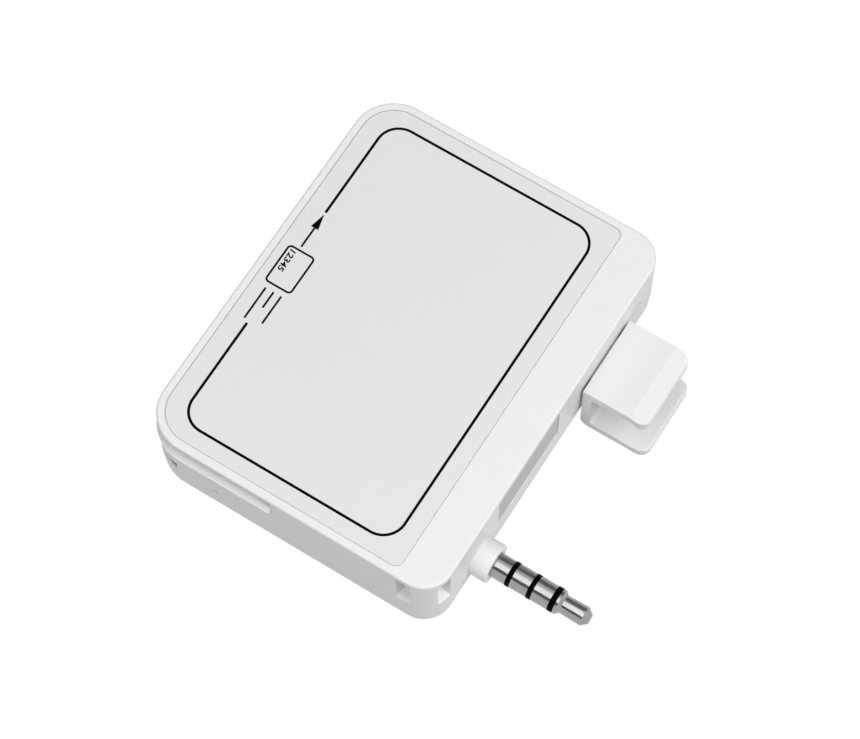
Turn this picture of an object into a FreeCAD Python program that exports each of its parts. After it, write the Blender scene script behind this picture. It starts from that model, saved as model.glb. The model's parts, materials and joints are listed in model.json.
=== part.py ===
import FreeCAD, Part
import math
import os
from types import SimpleNamespace

import Sketcher

# Plug-in card reader: a flat casing with a swipe slot along its left side, a tap area
# for contactless cards on its roof, and an audio plug and a sliding phone clip on its right.
# Origin: centre of the underside. X runs from the swipe side to the plug side,
# Y along the swipe, Z up out of the roof. All lengths are in millimetres.

DIMENSIONS = {
    # casing outline and shells
    "body_width": 45.0,
    "body_length": 58.0,
    "body_height": 13.0,
    "corner_radius": 6.0,
    "plug_side_radius": 4.2,
    "parting_height": 3.4,
    "wall_thickness": 1.4,
    "floor_thickness": 1.2,
    "roof_thickness": 1.1,
    "rim_round": 0.35,
    "lower_inset": 0.15,
    "lower_round": 0.8,
    "floor_round": 0.6,
    "rib_rise": 0.8,
    "rib_thickness": 0.7,
    "left_rib_half": 15.0,
    "right_rib_half": 8.0,
    "near_rib_past_slot": 3.2,
    "near_rib_from_right": 12.5,
    "far_rib_length": 4.0,
    "far_rib_from_right": 7.5,
    "running_gap": 0.05,
    "seam_gap": 0.1,
    # faceplate and antenna under it
    "rim_width": 1.1,
    "plug_side_strip": 6.0,
    "faceplate_thickness": 0.6,
    "faceplate_small_radius": 1.2,
    "faceplate_ledge": 1.0,
    "antenna_sheet_thickness": 0.2,
    "antenna_coil_thickness": 0.1,
    "antenna_track_width": 0.45,
    "antenna_track_pitch": 0.8,
    "antenna_margin": 0.6,
    "antenna_small_radius": 0.6,
    "antenna_turns": 4,
    "contact_radius": 0.75,
    "contact_plunger_radius": 0.5,
    "contact_plunger_length": 1.8,
    "contact_hole_gap": 0.2,
    "contact_spacing": 2.5,
    "contact_from_edge": 2.5,
    "contact_from_end": 1.6,
    # swipe slot
    "slot_from_top": 2.4,
    "shelf_thickness": 1.0,
    "slot_height": 1.0,
    "slot_depth": 20.3,
    "slot_end_wall": 1.0,
    "slot_lead_in": 0.9,
    "lip_reach": 0.65,
    "lip_drop": 2.6,
    "lip_lean": 0.55,
    # magnetic head and its floating carriage
    "stripe_from_edge": 10.65,
    "head_width": 12.0,
    "head_length": 9.0,
    "head_crown_rise": 0.4,
    "head_crown_length": 5.0,
    "head_crown_radius": 4.0,
    "head_can_below_shelf": 0.3,
    "head_window_gap": 0.3,
    "carriage_thickness": 0.5,
    "carriage_arm_width": 5.0,
    "carriage_arm_end": 2.0,
    "carriage_corner": 0.8,
    "guide_spacing": 24.0,
    "guide_boss_radius": 1.5,
    "guide_pin_radius": 0.7,
    "guide_pin_foot": 0.3,
    "ribbon_thickness": 0.15,
    "ribbon_width": 2.3,
    "ribbon_length": 3.0,
    "ribbon_from_middle": 4.25,
    "carriage_height": 5.0,
    "spring_wire": 0.25,
    "spring_radius": 1.15,
    "spring_turns": 3.5,
    "spring_bends_each_turn": 12.0,
    # main board and what stands on it
    "board_height": 2.4,
    "board_thickness": 1.0,
    "board_left_gap": 1.7,
    "board_end_gap": 2.0,
    "board_past_slot": 0.6,
    "near_leg_from_wall": 8.1,
    "near_leg_length": 15.8,
    "far_leg_from_wall": 8.6,
    "far_leg_length": 3.8,
    "board_corner": 3.4,
    "board_small_corner": 0.4,
    "board_leg_lap": 4.0,
    "board_hole_gap": 0.2,
    "board_post_radius": 1.1,
    "board_post_inset": 1.6,
    "left_post_along": 8.0,
    "middle_post_along": 12.0,
    "near_post_from_left": 8.55,
    "controller_chip_across": -5.4,
    "controller_chip_along": 8.5,
    "controller_chip_width": 7.0,
    "controller_chip_length": 7.0,
    "controller_chip_height": 0.9,
    "radio_chip_across": 4.8,
    "radio_chip_along": 11.4,
    "radio_chip_width": 5.0,
    "radio_chip_length": 5.0,
    "radio_chip_height": 0.7,
    "radio_shield_width": 8.0,
    "radio_shield_length": 7.0,
    "radio_shield_height": 1.6,
    "radio_shield_sheet": 0.2,
    "codec_chip_across": 12.5,
    "codec_chip_along": 13.0,
    "codec_chip_width": 4.0,
    "codec_chip_length": 4.0,
    "codec_chip_height": 0.8,
    "clock_crystal_across": -1.2,
    "clock_crystal_along": 13.1,
    "clock_crystal_width": 3.2,
    "clock_crystal_length": 1.5,
    "clock_crystal_height": 0.8,
    "capacitor_width": 1.6,
    "capacitor_length": 0.8,
    "capacitor_height": 0.8,
    "supply_capacitor_across": -1.2,
    "supply_capacitor_along": 23.6,
    "supply_capacitor_pitch": 1.6,
    "chip_capacitor_across": -14.0,
    "chip_capacitor_along": 5.0,
    "chip_capacitor_pitch": 2.0,
    "resistor_length": 1.0,
    "resistor_width": 0.5,
    "resistor_height": 0.35,
    "middle_resistor_across": -4.1,
    "middle_resistor_along": 13.0,
    "middle_resistor_pitch": 1.2,
    "leg_resistor_across": 3.6,
    "leg_resistor_along": 6.0,
    "leg_resistor_pitch": 1.4,
    "buzzer_from_slot_end": 3.4,
    "buzzer_from_far_edge": 8.2,
    "buzzer_radius": 3.6,
    "buzzer_height": 1.9,
    "buzzer_hole_radius": 0.6,
    "buzzer_hole_depth": 0.5,
    "light_side": 0.8,
    "light_from_edge": 0.8,
    "light_pitch": 1.8,
    # battery
    "battery_past_slot": 3.2,
    "battery_from_leg": 2.2,
    "battery_from_wall": 3.6,
    "battery_screw_gap": 0.2,
    "battery_thickness": 4.0,
    "battery_corner": 0.8,
    "battery_pad_thickness": 0.3,
    "battery_pad_margin": 1.0,
    "tab_board_margin": 1.0,
    "tab_board_thickness": 1.6,
    "tab_board_lift": 0.5,
    "tab_board_height": 2.6,
    "battery_lead_radius": 0.35,
    "battery_lead_pitch": 0.8,
    "battery_lead_height": 0.7,
    "battery_plug_side": 3.0,
    "battery_plug_height": 2.0,
    "battery_plug_gap": 0.4,
    # fastening
    "boss_radius": 1.8,
    "boss_foot": 1.9,
    "screw_pad_width": 1.1,
    "left_screw_inset": 4.9,
    "far_left_screw_inset": 5.0,
    "right_screw_inset": 4.1,
    "far_screw_inset": 4.6,
    "middle_screw_inset": 1.8,
    "near_screw_inset": 2.8,
    "plug_screw_inset": 3.1,
    "plug_screw_gap": 6.8,
    "screw_drive_length": 1.6,
    "screw_drive_width": 0.3,
    "screw_drive_depth": 0.45,
    "screw_radius": 0.8,
    "screw_length": 6.0,
    "screw_head_radius": 1.5,
    "screw_head_height": 0.85,
    "screw_counterbore": 1.0,
    # audio plug
    "plug_from_near_end": 11.0,
    "plug_height": 4.2,
    "plug_radius": 1.75,
    "plug_shank_radius": 2.0,
    "plug_length": 14.15,
    "plug_band_width": 0.7,
    "plug_ring_length": 2.5,
    "plug_sleeve_length": 2.2,
    "plug_rod_radius": 0.45,
    "plug_bore_radius": 0.8,
    "plug_fit_gap": 0.02,
    "plug_seat_gap": 0.2,
    "tip_edge": 0.1,
    "tip_bead": 0.45,
    "tip_fall": 0.45,
    "tip_waist_radius": 1.28,
    "tip_head_radius": 1.37,
    "tip_cone": 0.85,
    "tip_end_radius": 0.65,
    "plug_rod_seat": 3.0,
    "collar_radius": 2.8,
    "collar_reach": 2.55,
    "collar_round": 0.25,
    "collar_flange_radius": 3.1,
    "collar_flange_thickness": 1.0,
    "plug_base_length": 6.2,
    "plug_base_width": 6.8,
    "plug_base_height": 5.6,
    "plug_base_corner": 0.5,
    "terminal_length": 2.5,
    "terminal_width": 0.8,
    "terminal_pitch": 1.6,
    "terminal_thickness": 0.25,
    # phone clip
    "clip_from_far_end": 15.9,
    "clip_width": 12.0,
    "clip_gap": 0.35,
    "clip_top": 8.5,
    "clip_bottom": -1.8,
    "clip_thickness": 1.3,
    "clip_top_reach": 9.6,
    "clip_bottom_reach": 10.2,
    "clip_corner": 1.6,
    "clip_flat": 7.0,
    "clip_slope_fall": 0.7,
    "clip_nose_drop": 2.2,
    "clip_nose_length": 1.2,
    "clip_nose_slope": 0.8,
    "clip_nose_round": 0.65,
    "clip_slope_round": 0.5,
    "clip_heel_round": 1.4,
    "clip_inner_round": 0.8,
    "clip_end_round": 0.5,
    "clip_travel": 6.0,
    "clip_tongue_width": 7.0,
    "clip_tongue_thickness": 0.6,
    "clip_slot_height": 6.8,
    "clip_retainer_height": 2.6,
    "clip_retainer_thickness": 1.3,
    "clip_retainer_gap": 0.2,
    "clip_retainer_lap": 0.5,
    # details in the walls
    "label_from_end": 15.6,
    "label_length": 14.9,
    "label_bottom": 5.2,
    "label_from_top": 1.0,
    "label_recess": 0.3,
    "label_thickness": 0.15,
    "window_bottom": 4.4,
    "window_height": 2.05,
    "window_recess": 0.3,
    "window_flange": 0.4,
    "window_flange_thickness": 0.55,
    "window_from_corner": 0.6,
    "window_along_side": 4.0,
    "pinhole_from_left": 11.3,
    "pinhole_height": 4.5,
    "pinhole_radius": 0.4,
    "reset_travel": 0.25,
    "reset_body_width": 4.0,
    "reset_body_length": 3.0,
    "reset_body_from_edge": 0.4,
    "reset_body_above": 0.7,
    "reset_gap": 0.1,
    "plunger_width": 1.2,
    "plunger_height": 0.9,
    "plunger_out": 0.9,
    "plunger_in": 0.6,
    "plunger_spare": 0.15,
    "usb_from_slot_end": 5.8,
    "usb_width": 7.6,
    "usb_depth": 5.2,
    "usb_height": 2.6,
    "usb_shell": 0.3,
    "usb_setback": 0.4,
    "usb_step": 1.0,
    "usb_chamfer": 0.9,
    "usb_tongue_inset": 1.4,
    "usb_tongue_setback": 1.0,
    "usb_tongue_thickness": 0.6,
    "usb_tongue_lift": 0.2,
    "port_gap": 0.2,
    "mode_past_slot_end": 8.5,
    "mode_knob_width": 1.6,
    "mode_knob_height": 1.0,
    "mode_knob_lift": 0.3,
    "mode_knob_reach": 0.5,
    "mode_stem_width": 0.8,
    "mode_stem_depth": 1.2,
    "mode_stem_step": 0.2,
    "mode_travel": 2.0,
    "mode_body_margin": 1.5,
    "mode_body_depth": 2.9,
    "mode_body_overhang": 0.3,
    "strap_inner_radius": 0.5,
    "strap_outer_radius": 2.4,
    "strap_bottom": 7.1,
    "strap_roof": 0.9,
    "strap_floor": 1.0,
    "strap_gap": 0.15,
    "strap_block_from_wall": 6.2,
    "strap_near_start": -112.0,
    "strap_side_start": -33.0,
    "strap_opening_angle": 29.0,
    "strap_sill_fall": 1.9,
}

# How far a cutting solid runs past what it cuts.
PAST = 1.0


class Size:
    """One length of the model: the expression that gives it and its present value."""

    def __init__(self, text, value):
        self.text = text
        self.value = value

    @staticmethod
    def of(other):
        if isinstance(other, Size):
            return other
        return Size("(%r)" % float(other), float(other))

    def join(self, sign, other, value):
        return Size("(%s %s %s)" % (self.text, sign, other.text), value)

    def __add__(self, other):
        other = Size.of(other)
        return self.join("+", other, self.value + other.value)

    def __radd__(self, other):
        return Size.of(other) + self

    def __sub__(self, other):
        other = Size.of(other)
        return self.join("-", other, self.value - other.value)

    def __rsub__(self, other):
        return Size.of(other) - self

    def __mul__(self, other):
        other = Size.of(other)
        return self.join("*", other, self.value * other.value)

    def __rmul__(self, other):
        return Size.of(other) * self

    def __truediv__(self, other):
        other = Size.of(other)
        return self.join("/", other, self.value / other.value)

    def __neg__(self):
        return 0.0 - self


def fill_sheet(document):
    """Write every driving dimension to the sheet and return them as sizes."""
    sheet = document.addObject("Spreadsheet::Sheet", "Dimensions")
    sizes = {}
    for row, (alias, value) in enumerate(DIMENSIONS.items(), start=1):
        sheet.set("A%d" % row, alias)
        sheet.set("B%d" % row, str(value))
        sheet.setAlias("B%d" % row, alias)
        sizes[alias] = Size("Dimensions.%s" % alias, float(value))
    document.recompute()
    return SimpleNamespace(**sizes)


doc = FreeCAD.newDocument("card_reader")
dim = fill_sheet(doc)
nodes = []


# Ways to make solids -----------------------------------------------------------------

def bind(thing, prop, size):
    """Give a property its value and tie it to the sheet."""
    thing.setExpression(prop, Size.of(size).text)


def node(thing, name):
    """Mark an object as one piece of the finished part."""
    thing.Label = name
    nodes.append(thing)
    return thing


def block(name, x_span, y_span, z_span):
    """A box between two places on each axis."""
    box = doc.addObject("Part::Box", name)
    for prop, axis, (low, high) in zip(("Length", "Width", "Height"), "xyz", (x_span, y_span, z_span)):
        bind(box, prop, Size.of(high) - low)
        bind(box, "Placement.Base.%s" % axis, low)
    return box


TURNS = {
    "z": FreeCAD.Rotation(),
    "x": FreeCAD.Rotation(FreeCAD.Vector(0, 1, 0), 90),
    "y": FreeCAD.Rotation(FreeCAD.Vector(1, 0, 0), -90),
}


def rod(name, radius, length, start, axis="z"):
    """A cylinder from a start point along an axis."""
    cylinder = doc.addObject("Part::Cylinder", name)
    cylinder.Placement = FreeCAD.Placement(FreeCAD.Vector(), TURNS[axis])
    bind(cylinder, "Radius", radius)
    bind(cylinder, "Height", length)
    for letter, place in zip("xyz", start):
        bind(cylinder, "Placement.Base.%s" % letter, place)
    return cylinder


def cone(name, low_radius, high_radius, height, start):
    """An upright cone's frustum from a start point."""
    frustum = doc.addObject("Part::Cone", name)
    bind(frustum, "Radius1", low_radius)
    bind(frustum, "Radius2", high_radius)
    bind(frustum, "Height", height)
    for letter, place in zip("xyz", start):
        bind(frustum, "Placement.Base.%s" % letter, place)
    return frustum


def sector(name, radius, start, height, centre, first_angle, angle):
    """A slice of a standing cylinder, from an angle and over an angle."""
    piece = rod(name, radius, height, (centre[0], centre[1], start))
    piece.Placement.Rotation = FreeCAD.Rotation(FreeCAD.Vector(0, 0, 1), 1.0)
    bind(piece, "Placement.Rotation.Angle", first_angle)
    bind(piece, "Angle", angle)
    return piece


def fuse(name, *pieces):
    """One solid from several."""
    union = doc.addObject("Part::MultiFuse", name)
    union.Shapes = list(pieces)
    return union


def group(name, *pieces):
    """Several separate solids in one object."""
    compound = doc.addObject("Part::Compound", name)
    compound.Links = list(pieces)
    return compound


def cut(name, base, *tools):
    """A solid with others taken away."""
    difference = doc.addObject("Part::Cut", name)
    difference.Base = base
    difference.Tool = tools[0] if len(tools) == 1 else fuse(name + "_tools", *tools)
    return difference


def common(name, *pieces):
    """What several solids share."""
    shared = doc.addObject("Part::MultiCommon", name)
    shared.Shapes = list(pieces)
    return shared


def new_body(name):
    return doc.addObject("PartDesign::Body", name)


def new_sketch(body, name, role="XY_Plane", level=0.0, centre=(0.0, 0.0)):
    """A sketch on one of the body's own planes, moved to a level and a centre."""
    plane = [item for item in body.Origin.OriginFeatures if item.Role == role][0]
    sketch = body.newObject("Sketcher::SketchObject", name)
    sketch.AttachmentSupport = [(plane, "")]
    sketch.MapMode = "FlatFace"
    for letter, place in zip("xyz", (centre[0], centre[1], level)):
        bind(sketch, "AttachmentOffset.Base.%s" % letter, place)
    return sketch


def constrain(sketch, size, *terms):
    """Add a dimension to a sketch and tie it to the sheet."""
    size = Size.of(size)
    index = sketch.addConstraint(Sketcher.Constraint(*terms, size.value))
    sketch.setExpression("Constraints[%d]" % index, size.text)


def rounded_outline(body, name, level, x_span, y_span, radii):
    """A rectangle sketch with rounded corners, given as near-right, far-right, far-left, near-left."""
    width = Size.of(x_span[1]) - x_span[0]
    length = Size.of(y_span[1]) - y_span[0]
    centre = ((Size.of(x_span[0]) + x_span[1]) / 2, (Size.of(y_span[0]) + y_span[1]) / 2)
    radii = [Size.of(radius) for radius in radii]
    sketch = new_sketch(body, name, "XY_Plane", level, centre)
    half_x, half_y = width.value / 2, length.value / 2
    corners = [(1, -1), (1, 1), (-1, 1), (-1, -1)]
    centres = [FreeCAD.Vector(sx * (half_x - r.value), sy * (half_y - r.value), 0)
               for (sx, sy), r in zip(corners, radii)]
    rims = []
    for index, (middle, radius) in enumerate(zip(centres, radii)):
        start = math.radians(-90 + 90 * index)
        rims.append(Part.ArcOfCircle(Part.Circle(middle, FreeCAD.Vector(0, 0, 1), radius.value),
                                     start, start + math.pi / 2))
    lines = []
    for index in range(4):
        previous = rims[index - 1].EndPoint
        lines.append(Part.LineSegment(previous, rims[index].StartPoint))
    sketch.addGeometry(lines + rims, False)
    for index in range(4):
        arc, following = 4 + index, (index + 1) % 4
        sketch.addConstraint(Sketcher.Constraint("Tangent", index, 2, arc, 1))
        sketch.addConstraint(Sketcher.Constraint("Tangent", arc, 2, following, 1))
        constrain(sketch, radii[index], "Radius", arc)
    sketch.addConstraint(Sketcher.Constraint("Horizontal", 0))
    sketch.addConstraint(Sketcher.Constraint("Vertical", 1))
    constrain(sketch, width / 2, "DistanceX", -1, 1, 1, 1)
    constrain(sketch, width / 2, "DistanceX", 3, 1, -1, 1)
    constrain(sketch, length / 2, "DistanceY", -1, 1, 2, 1)
    constrain(sketch, length / 2, "DistanceY", 0, 1, -1, 1)
    return sketch


def corner_outline(body, name, points, role, level=0.0):
    """A closed sketch of straight runs through the given points, each placed from the origin."""
    points = [(Size.of(across), Size.of(up)) for across, up in points]
    sketch = new_sketch(body, name, role, level)
    count = len(points)
    flat = [FreeCAD.Vector(across.value, up.value, 0) for across, up in points]
    sketch.addGeometry([Part.LineSegment(flat[i], flat[(i + 1) % count]) for i in range(count)], False)
    for index in range(count):
        sketch.addConstraint(Sketcher.Constraint("Coincident", index, 2, (index + 1) % count, 1))
    for index, (across, up) in enumerate(points):
        for term, place, axis in (("DistanceX", across, -2), ("DistanceY", up, -1)):
            if place.value == 0.0:
                sketch.addConstraint(Sketcher.Constraint("PointOnObject", index, 1, axis))
            elif place.value > 0.0:
                constrain(sketch, place, term, -1, 1, index, 1)
            else:
                constrain(sketch, -place, term, index, 1, -1, 1)
    return sketch


def pad(body, sketch, length, taper=None):
    """Raise a sketch above its plane."""
    feature = body.newObject("PartDesign::Pad", sketch.Name + "_pad")
    feature.Profile = sketch
    bind(feature, "Length", length)
    if taper is not None:
        bind(feature, "TaperAngle", taper)
    sketch.Visibility = False
    body.Tip = feature
    doc.recompute()
    return feature


def pocket(body, sketch, depth):
    """Cut a sketch down below its plane, and make sure that it removed material."""
    before = body.Shape.Volume
    feature = body.newObject("PartDesign::Pocket", sketch.Name + "_pocket")
    feature.Profile = sketch
    bind(feature, "Length", depth)
    body.Tip = feature
    doc.recompute()
    if body.Shape.Volume > before - 1e-6:
        raise RuntimeError("%s removes nothing" % feature.Name)
    return feature


def spin(body, sketch, axis="H_Axis"):
    """Turn a sketch a whole turn about one of its axes."""
    feature = body.newObject("PartDesign::Revolution", sketch.Name + "_turn")
    feature.Profile = sketch
    feature.ReferenceAxis = (sketch, [axis])
    feature.Angle = 360.0
    body.Tip = feature
    doc.recompute()
    return feature


def round_edges(body, name, radius, wanted):
    """Round the edges of the body's last feature that a test picks."""
    base = body.Tip
    picked = ["Edge%d" % (index + 1) for index, edge in enumerate(base.Shape.Edges) if wanted(edge)]
    if not picked:
        raise RuntimeError("%s finds no edge" % name)
    feature = body.newObject("PartDesign::Fillet", name)
    feature.Base = (base, picked)
    bind(feature, "Radius", radius)
    body.Tip = feature
    doc.recompute()
    return feature


def lies_level(height):
    """A test for edges that lie wholly at one height."""
    def wanted(edge):
        box = edge.BoundBox
        return abs(box.ZMin - height.value) < 1e-4 and abs(box.ZMax - height.value) < 1e-4
    return wanted


def lies_along_y(*places):
    """A test for edges along Y at one of the given places in X and Z."""
    def wanted(edge):
        box = edge.BoundBox
        if box.YLength < 1e-3 or box.XLength > 1e-3 or box.ZLength > 1e-3:
            return False
        return any(abs(box.XMin - Size.of(x).value) < 1e-3 and abs(box.ZMin - Size.of(z).value) < 1e-3
                   for x, z in places)
    return wanted


def rounded_block(name, x_span, y_span, z_span, radii):
    """A slab with rounded upright corners."""
    body = new_body(name)
    if not isinstance(radii, (list, tuple)):
        radii = [radii] * 4
    sketch = rounded_outline(body, name + "_outline", z_span[0], x_span, y_span, radii)
    pad(body, sketch, Size.of(z_span[1]) - z_span[0])
    return body


def casing_radii(inset):
    """The casing's corner radii at a distance inside its outline, in an outline's order."""
    return [dim.plug_side_radius - inset] * 2 + [dim.corner_radius - inset] * 2


def inset_block(name, inset, z_span):
    """A slab that follows the casing's outline at a distance inside it."""
    inset = Size.of(inset)
    return rounded_block(name, (LEFT + inset, RIGHT - inset), (NEAR + inset, FAR - inset), z_span,
                         casing_radii(inset))


def prism(name, axis, span, points):
    """A solid of one section along X or Y: points are across and up."""
    low, high = Size.of(span[0]), Size.of(span[1])
    role, level = ("YZ_Plane", low) if axis == "x" else ("XZ_Plane", -high)
    body = new_body(name)
    pad(body, corner_outline(body, name + "_section", points, role, level), high - low)
    return body


def turned(name, points):
    """A piece turned about the plug's axis: points are along the axis and out from it."""
    body = new_body(name)
    spin(body, corner_outline(body, name + "_profile", points, "XZ_Plane"))
    bind(body, "Placement.Base.y", PLUG_Y)
    bind(body, "Placement.Base.z", dim.plug_height)
    return body


def plain(name, shape):
    """A piece whose shape is made with Part's own functions."""
    feature = doc.addObject("Part::Feature", name)
    feature.Shape = shape
    return feature


# Places worked out from the driving dimensions -----------------------------------------

LEFT = -dim.body_width / 2
RIGHT = dim.body_width / 2
NEAR = -dim.body_length / 2
FAR = dim.body_length / 2
TOP = dim.body_height
INNER_LEFT = LEFT + dim.wall_thickness
INNER_RIGHT = RIGHT - dim.wall_thickness
INNER_NEAR = NEAR + dim.wall_thickness
INNER_FAR = FAR - dim.wall_thickness
PLATE_LEFT = LEFT + dim.rim_width
PLATE_RIGHT = RIGHT - dim.plug_side_strip
PLATE_NEAR = NEAR + dim.rim_width
PLATE_FAR = FAR - dim.rim_width
PLATE_BOTTOM = TOP - dim.faceplate_thickness
SHELF_TOP = TOP - dim.slot_from_top
SHEET_TOP = PLATE_BOTTOM - dim.antenna_coil_thickness
SHEET_BOTTOM = SHEET_TOP - dim.antenna_sheet_thickness
ROOF_UNDER = SHEET_BOTTOM - dim.roof_thickness
SLOT_END = LEFT + dim.slot_depth
SLOT_TOP = SHELF_TOP + dim.slot_height
STRAP_HEIGHT = TOP - dim.strap_roof - dim.strap_bottom
LABEL_NEAR = NEAR + dim.label_from_end
PINHOLE_X = LEFT + dim.pinhole_from_left
USB_X = SLOT_END - dim.usb_from_slot_end
MODE_X = SLOT_END + dim.mode_past_slot_end
PLUG_Y = NEAR + dim.plug_from_near_end
CLIP_Y = FAR - dim.clip_from_far_end
SHELF_UNDER = SHELF_TOP - dim.shelf_thickness
BOARD_TOP = dim.board_height + dim.board_thickness
BOARD_LEFT = INNER_LEFT + dim.board_left_gap
BOARD_NEAR = INNER_NEAR + dim.board_end_gap
BOARD_FAR = INNER_FAR - dim.board_end_gap
BOARD_INNER = SLOT_END + dim.board_past_slot
NEAR_LEG_RIGHT = INNER_RIGHT - dim.near_leg_from_wall
NEAR_LEG_TOP = BOARD_NEAR + dim.near_leg_length
FAR_LEG_RIGHT = INNER_RIGHT - dim.far_leg_from_wall
HEAD_X = SLOT_END - dim.stripe_from_edge
GUIDE_Y = dim.guide_spacing / 2
CARRIAGE_TOP = dim.carriage_height + dim.carriage_thickness
CORNER_X = RIGHT - dim.plug_side_radius
CORNER_Y = NEAR + dim.plug_side_radius
CLIP_LEFT = RIGHT + dim.clip_gap
CLIP_NEAR = CLIP_Y - dim.clip_width / 2
CLIP_FAR = CLIP_Y + dim.clip_width / 2
TONGUE_NEAR = CLIP_Y - dim.clip_tongue_width / 2
TONGUE_FAR = CLIP_Y + dim.clip_tongue_width / 2
TONGUE_BOTTOM = dim.clip_slot_height + dim.running_gap
TONGUE_TOP = TONGUE_BOTTOM + dim.clip_tongue_thickness
RETAINER_RIGHT = INNER_RIGHT - dim.clip_retainer_gap
MODE_FACE = BOARD_FAR + dim.mode_body_overhang
KNOB_LOW = BOARD_TOP + dim.mode_knob_lift
KNOB_HIGH = KNOB_LOW + dim.mode_knob_height
CELL_BOTTOM = dim.floor_thickness + dim.battery_pad_thickness
CELL_LEFT = SLOT_END + dim.battery_past_slot
CELL_RIGHT = INNER_RIGHT - dim.battery_from_wall
CELL_NEAR = NEAR_LEG_TOP + dim.battery_from_leg
PAD_RADIUS = dim.screw_head_radius + dim.screw_pad_width
CELL_FAR = INNER_FAR - dim.far_screw_inset - PAD_RADIUS - dim.battery_screw_gap
CONTACT_X = [NEAR_LEG_RIGHT - dim.contact_from_edge - dim.contact_spacing,
             NEAR_LEG_RIGHT - dim.contact_from_edge]
PLUG_SEAT = INNER_RIGHT - dim.collar_flange_thickness - dim.plug_seat_gap
BASE_LEFT = PLUG_SEAT - dim.plug_base_length
COLLAR_FACE = RIGHT + dim.collar_reach
BAND_STARTS = [COLLAR_FACE + dim.plug_sleeve_length + count * (dim.plug_band_width + dim.plug_ring_length)
               for count in range(3)]
TIP_START = BAND_STARTS[2] + dim.plug_band_width
TIP_END = COLLAR_FACE + dim.plug_length
LONG = dim.body_length * 2

SCREW_PLACES = [
    (INNER_LEFT + dim.left_screw_inset, INNER_FAR - dim.far_left_screw_inset, SHELF_UNDER),
    (INNER_RIGHT - dim.right_screw_inset, INNER_FAR - dim.far_screw_inset, ROOF_UNDER),
    (BOARD_INNER - dim.middle_screw_inset, BOARD_NEAR + dim.near_screw_inset, SHELF_UNDER),
    (INNER_RIGHT - dim.plug_screw_inset, PLUG_Y + dim.plug_screw_gap, ROOF_UNDER),
]


# Casings -------------------------------------------------------------------------------

def upper_shell():
    """The upper shell before its openings: walls, roof with the faceplate's bed, hollow."""
    body = new_body("upper_shell")
    outline = rounded_outline(body, "upper_outline", dim.parting_height, (LEFT, RIGHT), (NEAR, FAR),
                              casing_radii(0.0))
    pad(body, outline, TOP - dim.parting_height)
    round_edges(body, "rim_fillet", dim.rim_round, lies_level(TOP))
    plate_radius = dim.corner_radius - dim.rim_width
    ledge = dim.faceplate_ledge
    pocket(body, rounded_outline(body, "faceplate_bed", TOP, (PLATE_LEFT, PLATE_RIGHT),
                                 (PLATE_NEAR, PLATE_FAR),
                                 [dim.faceplate_small_radius] * 2 + [plate_radius] * 2),
           dim.faceplate_thickness)
    pocket(body, rounded_outline(body, "antenna_bed", PLATE_BOTTOM, (PLATE_LEFT + ledge, PLATE_RIGHT - ledge),
                                 (PLATE_NEAR + ledge, PLATE_FAR - ledge),
                                 [dim.faceplate_small_radius] * 2 + [plate_radius - ledge] * 2),
           PLATE_BOTTOM - SHEET_BOTTOM)
    inner_radii = casing_radii(dim.wall_thickness)
    pocket(body, rounded_outline(body, "low_hollow", SHELF_UNDER, (INNER_LEFT, INNER_RIGHT),
                                 (INNER_NEAR, INNER_FAR), inner_radii),
           SHELF_UNDER - dim.parting_height)
    pocket(body, rounded_outline(body, "high_hollow", ROOF_UNDER, (SLOT_END + dim.slot_end_wall, INNER_RIGHT),
                                 (INNER_NEAR, INNER_FAR), inner_radii[:2] + [dim.slot_end_wall] * 2),
           ROOF_UNDER - SHELF_UNDER)
    return body


def swipe_lip():
    """The lip on the near wall that the card is laid on, dying into the left corner."""
    low = SHELF_TOP - dim.lip_drop
    front = NEAR - dim.lip_reach
    radius = dim.corner_radius + dim.lip_reach
    straight = prism("lip_straight", "x", (LEFT + radius, SLOT_END),
                     [(front, SHELF_TOP), (front + dim.lip_lean, low), (CORNER_Y, low),
                      (CORNER_Y, SHELF_TOP)])
    turn = cone("lip_turn", radius - dim.lip_lean, radius, dim.lip_drop, (LEFT + radius, front + radius, low))
    inside = inset_block("lip_inside", dim.wall_thickness / 2, (0.0, TOP))
    return cut("swipe_lip", fuse("lip_blank", straight, turn), inside)


def screw_bosses():
    """Four bosses that the screws from below bite into."""
    foot = dim.boss_foot
    return [rod("screw_boss_%d" % number, dim.boss_radius, roof - foot + dim.running_gap, (x, y, foot))
            for number, (x, y, roof) in enumerate(SCREW_PLACES, start=1)]


def head_guides():
    """Two stepped posts under the shelf that the head's carriage slides on."""
    posts = []
    foot = BOARD_TOP + dim.guide_pin_foot
    for side, y in (("near", -GUIDE_Y), ("far", GUIDE_Y)):
        posts.append(rod("%s_guide_boss" % side, dim.guide_boss_radius,
                         SHELF_UNDER - CARRIAGE_TOP + dim.running_gap, (HEAD_X, y, CARRIAGE_TOP)))
        posts.append(rod("%s_guide_pin" % side, dim.guide_pin_radius, SHELF_UNDER - foot, (HEAD_X, y, foot)))
    return posts


def strap_block():
    """The solid corner that holds the strap post."""
    radius = dim.plug_side_radius - dim.rim_round - dim.running_gap
    bottom = dim.strap_bottom - dim.strap_floor
    blank = rod("strap_block_blank", radius, ROOF_UNDER - bottom + dim.running_gap,
                (CORNER_X, CORNER_Y, bottom))
    limit = block("strap_block_limit", (INNER_RIGHT - dim.strap_block_from_wall, RIGHT),
                  (NEAR, PLUG_Y - dim.plug_base_width / 2 - dim.strap_gap), (bottom, TOP))
    return common("strap_block", blank, limit)


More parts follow.
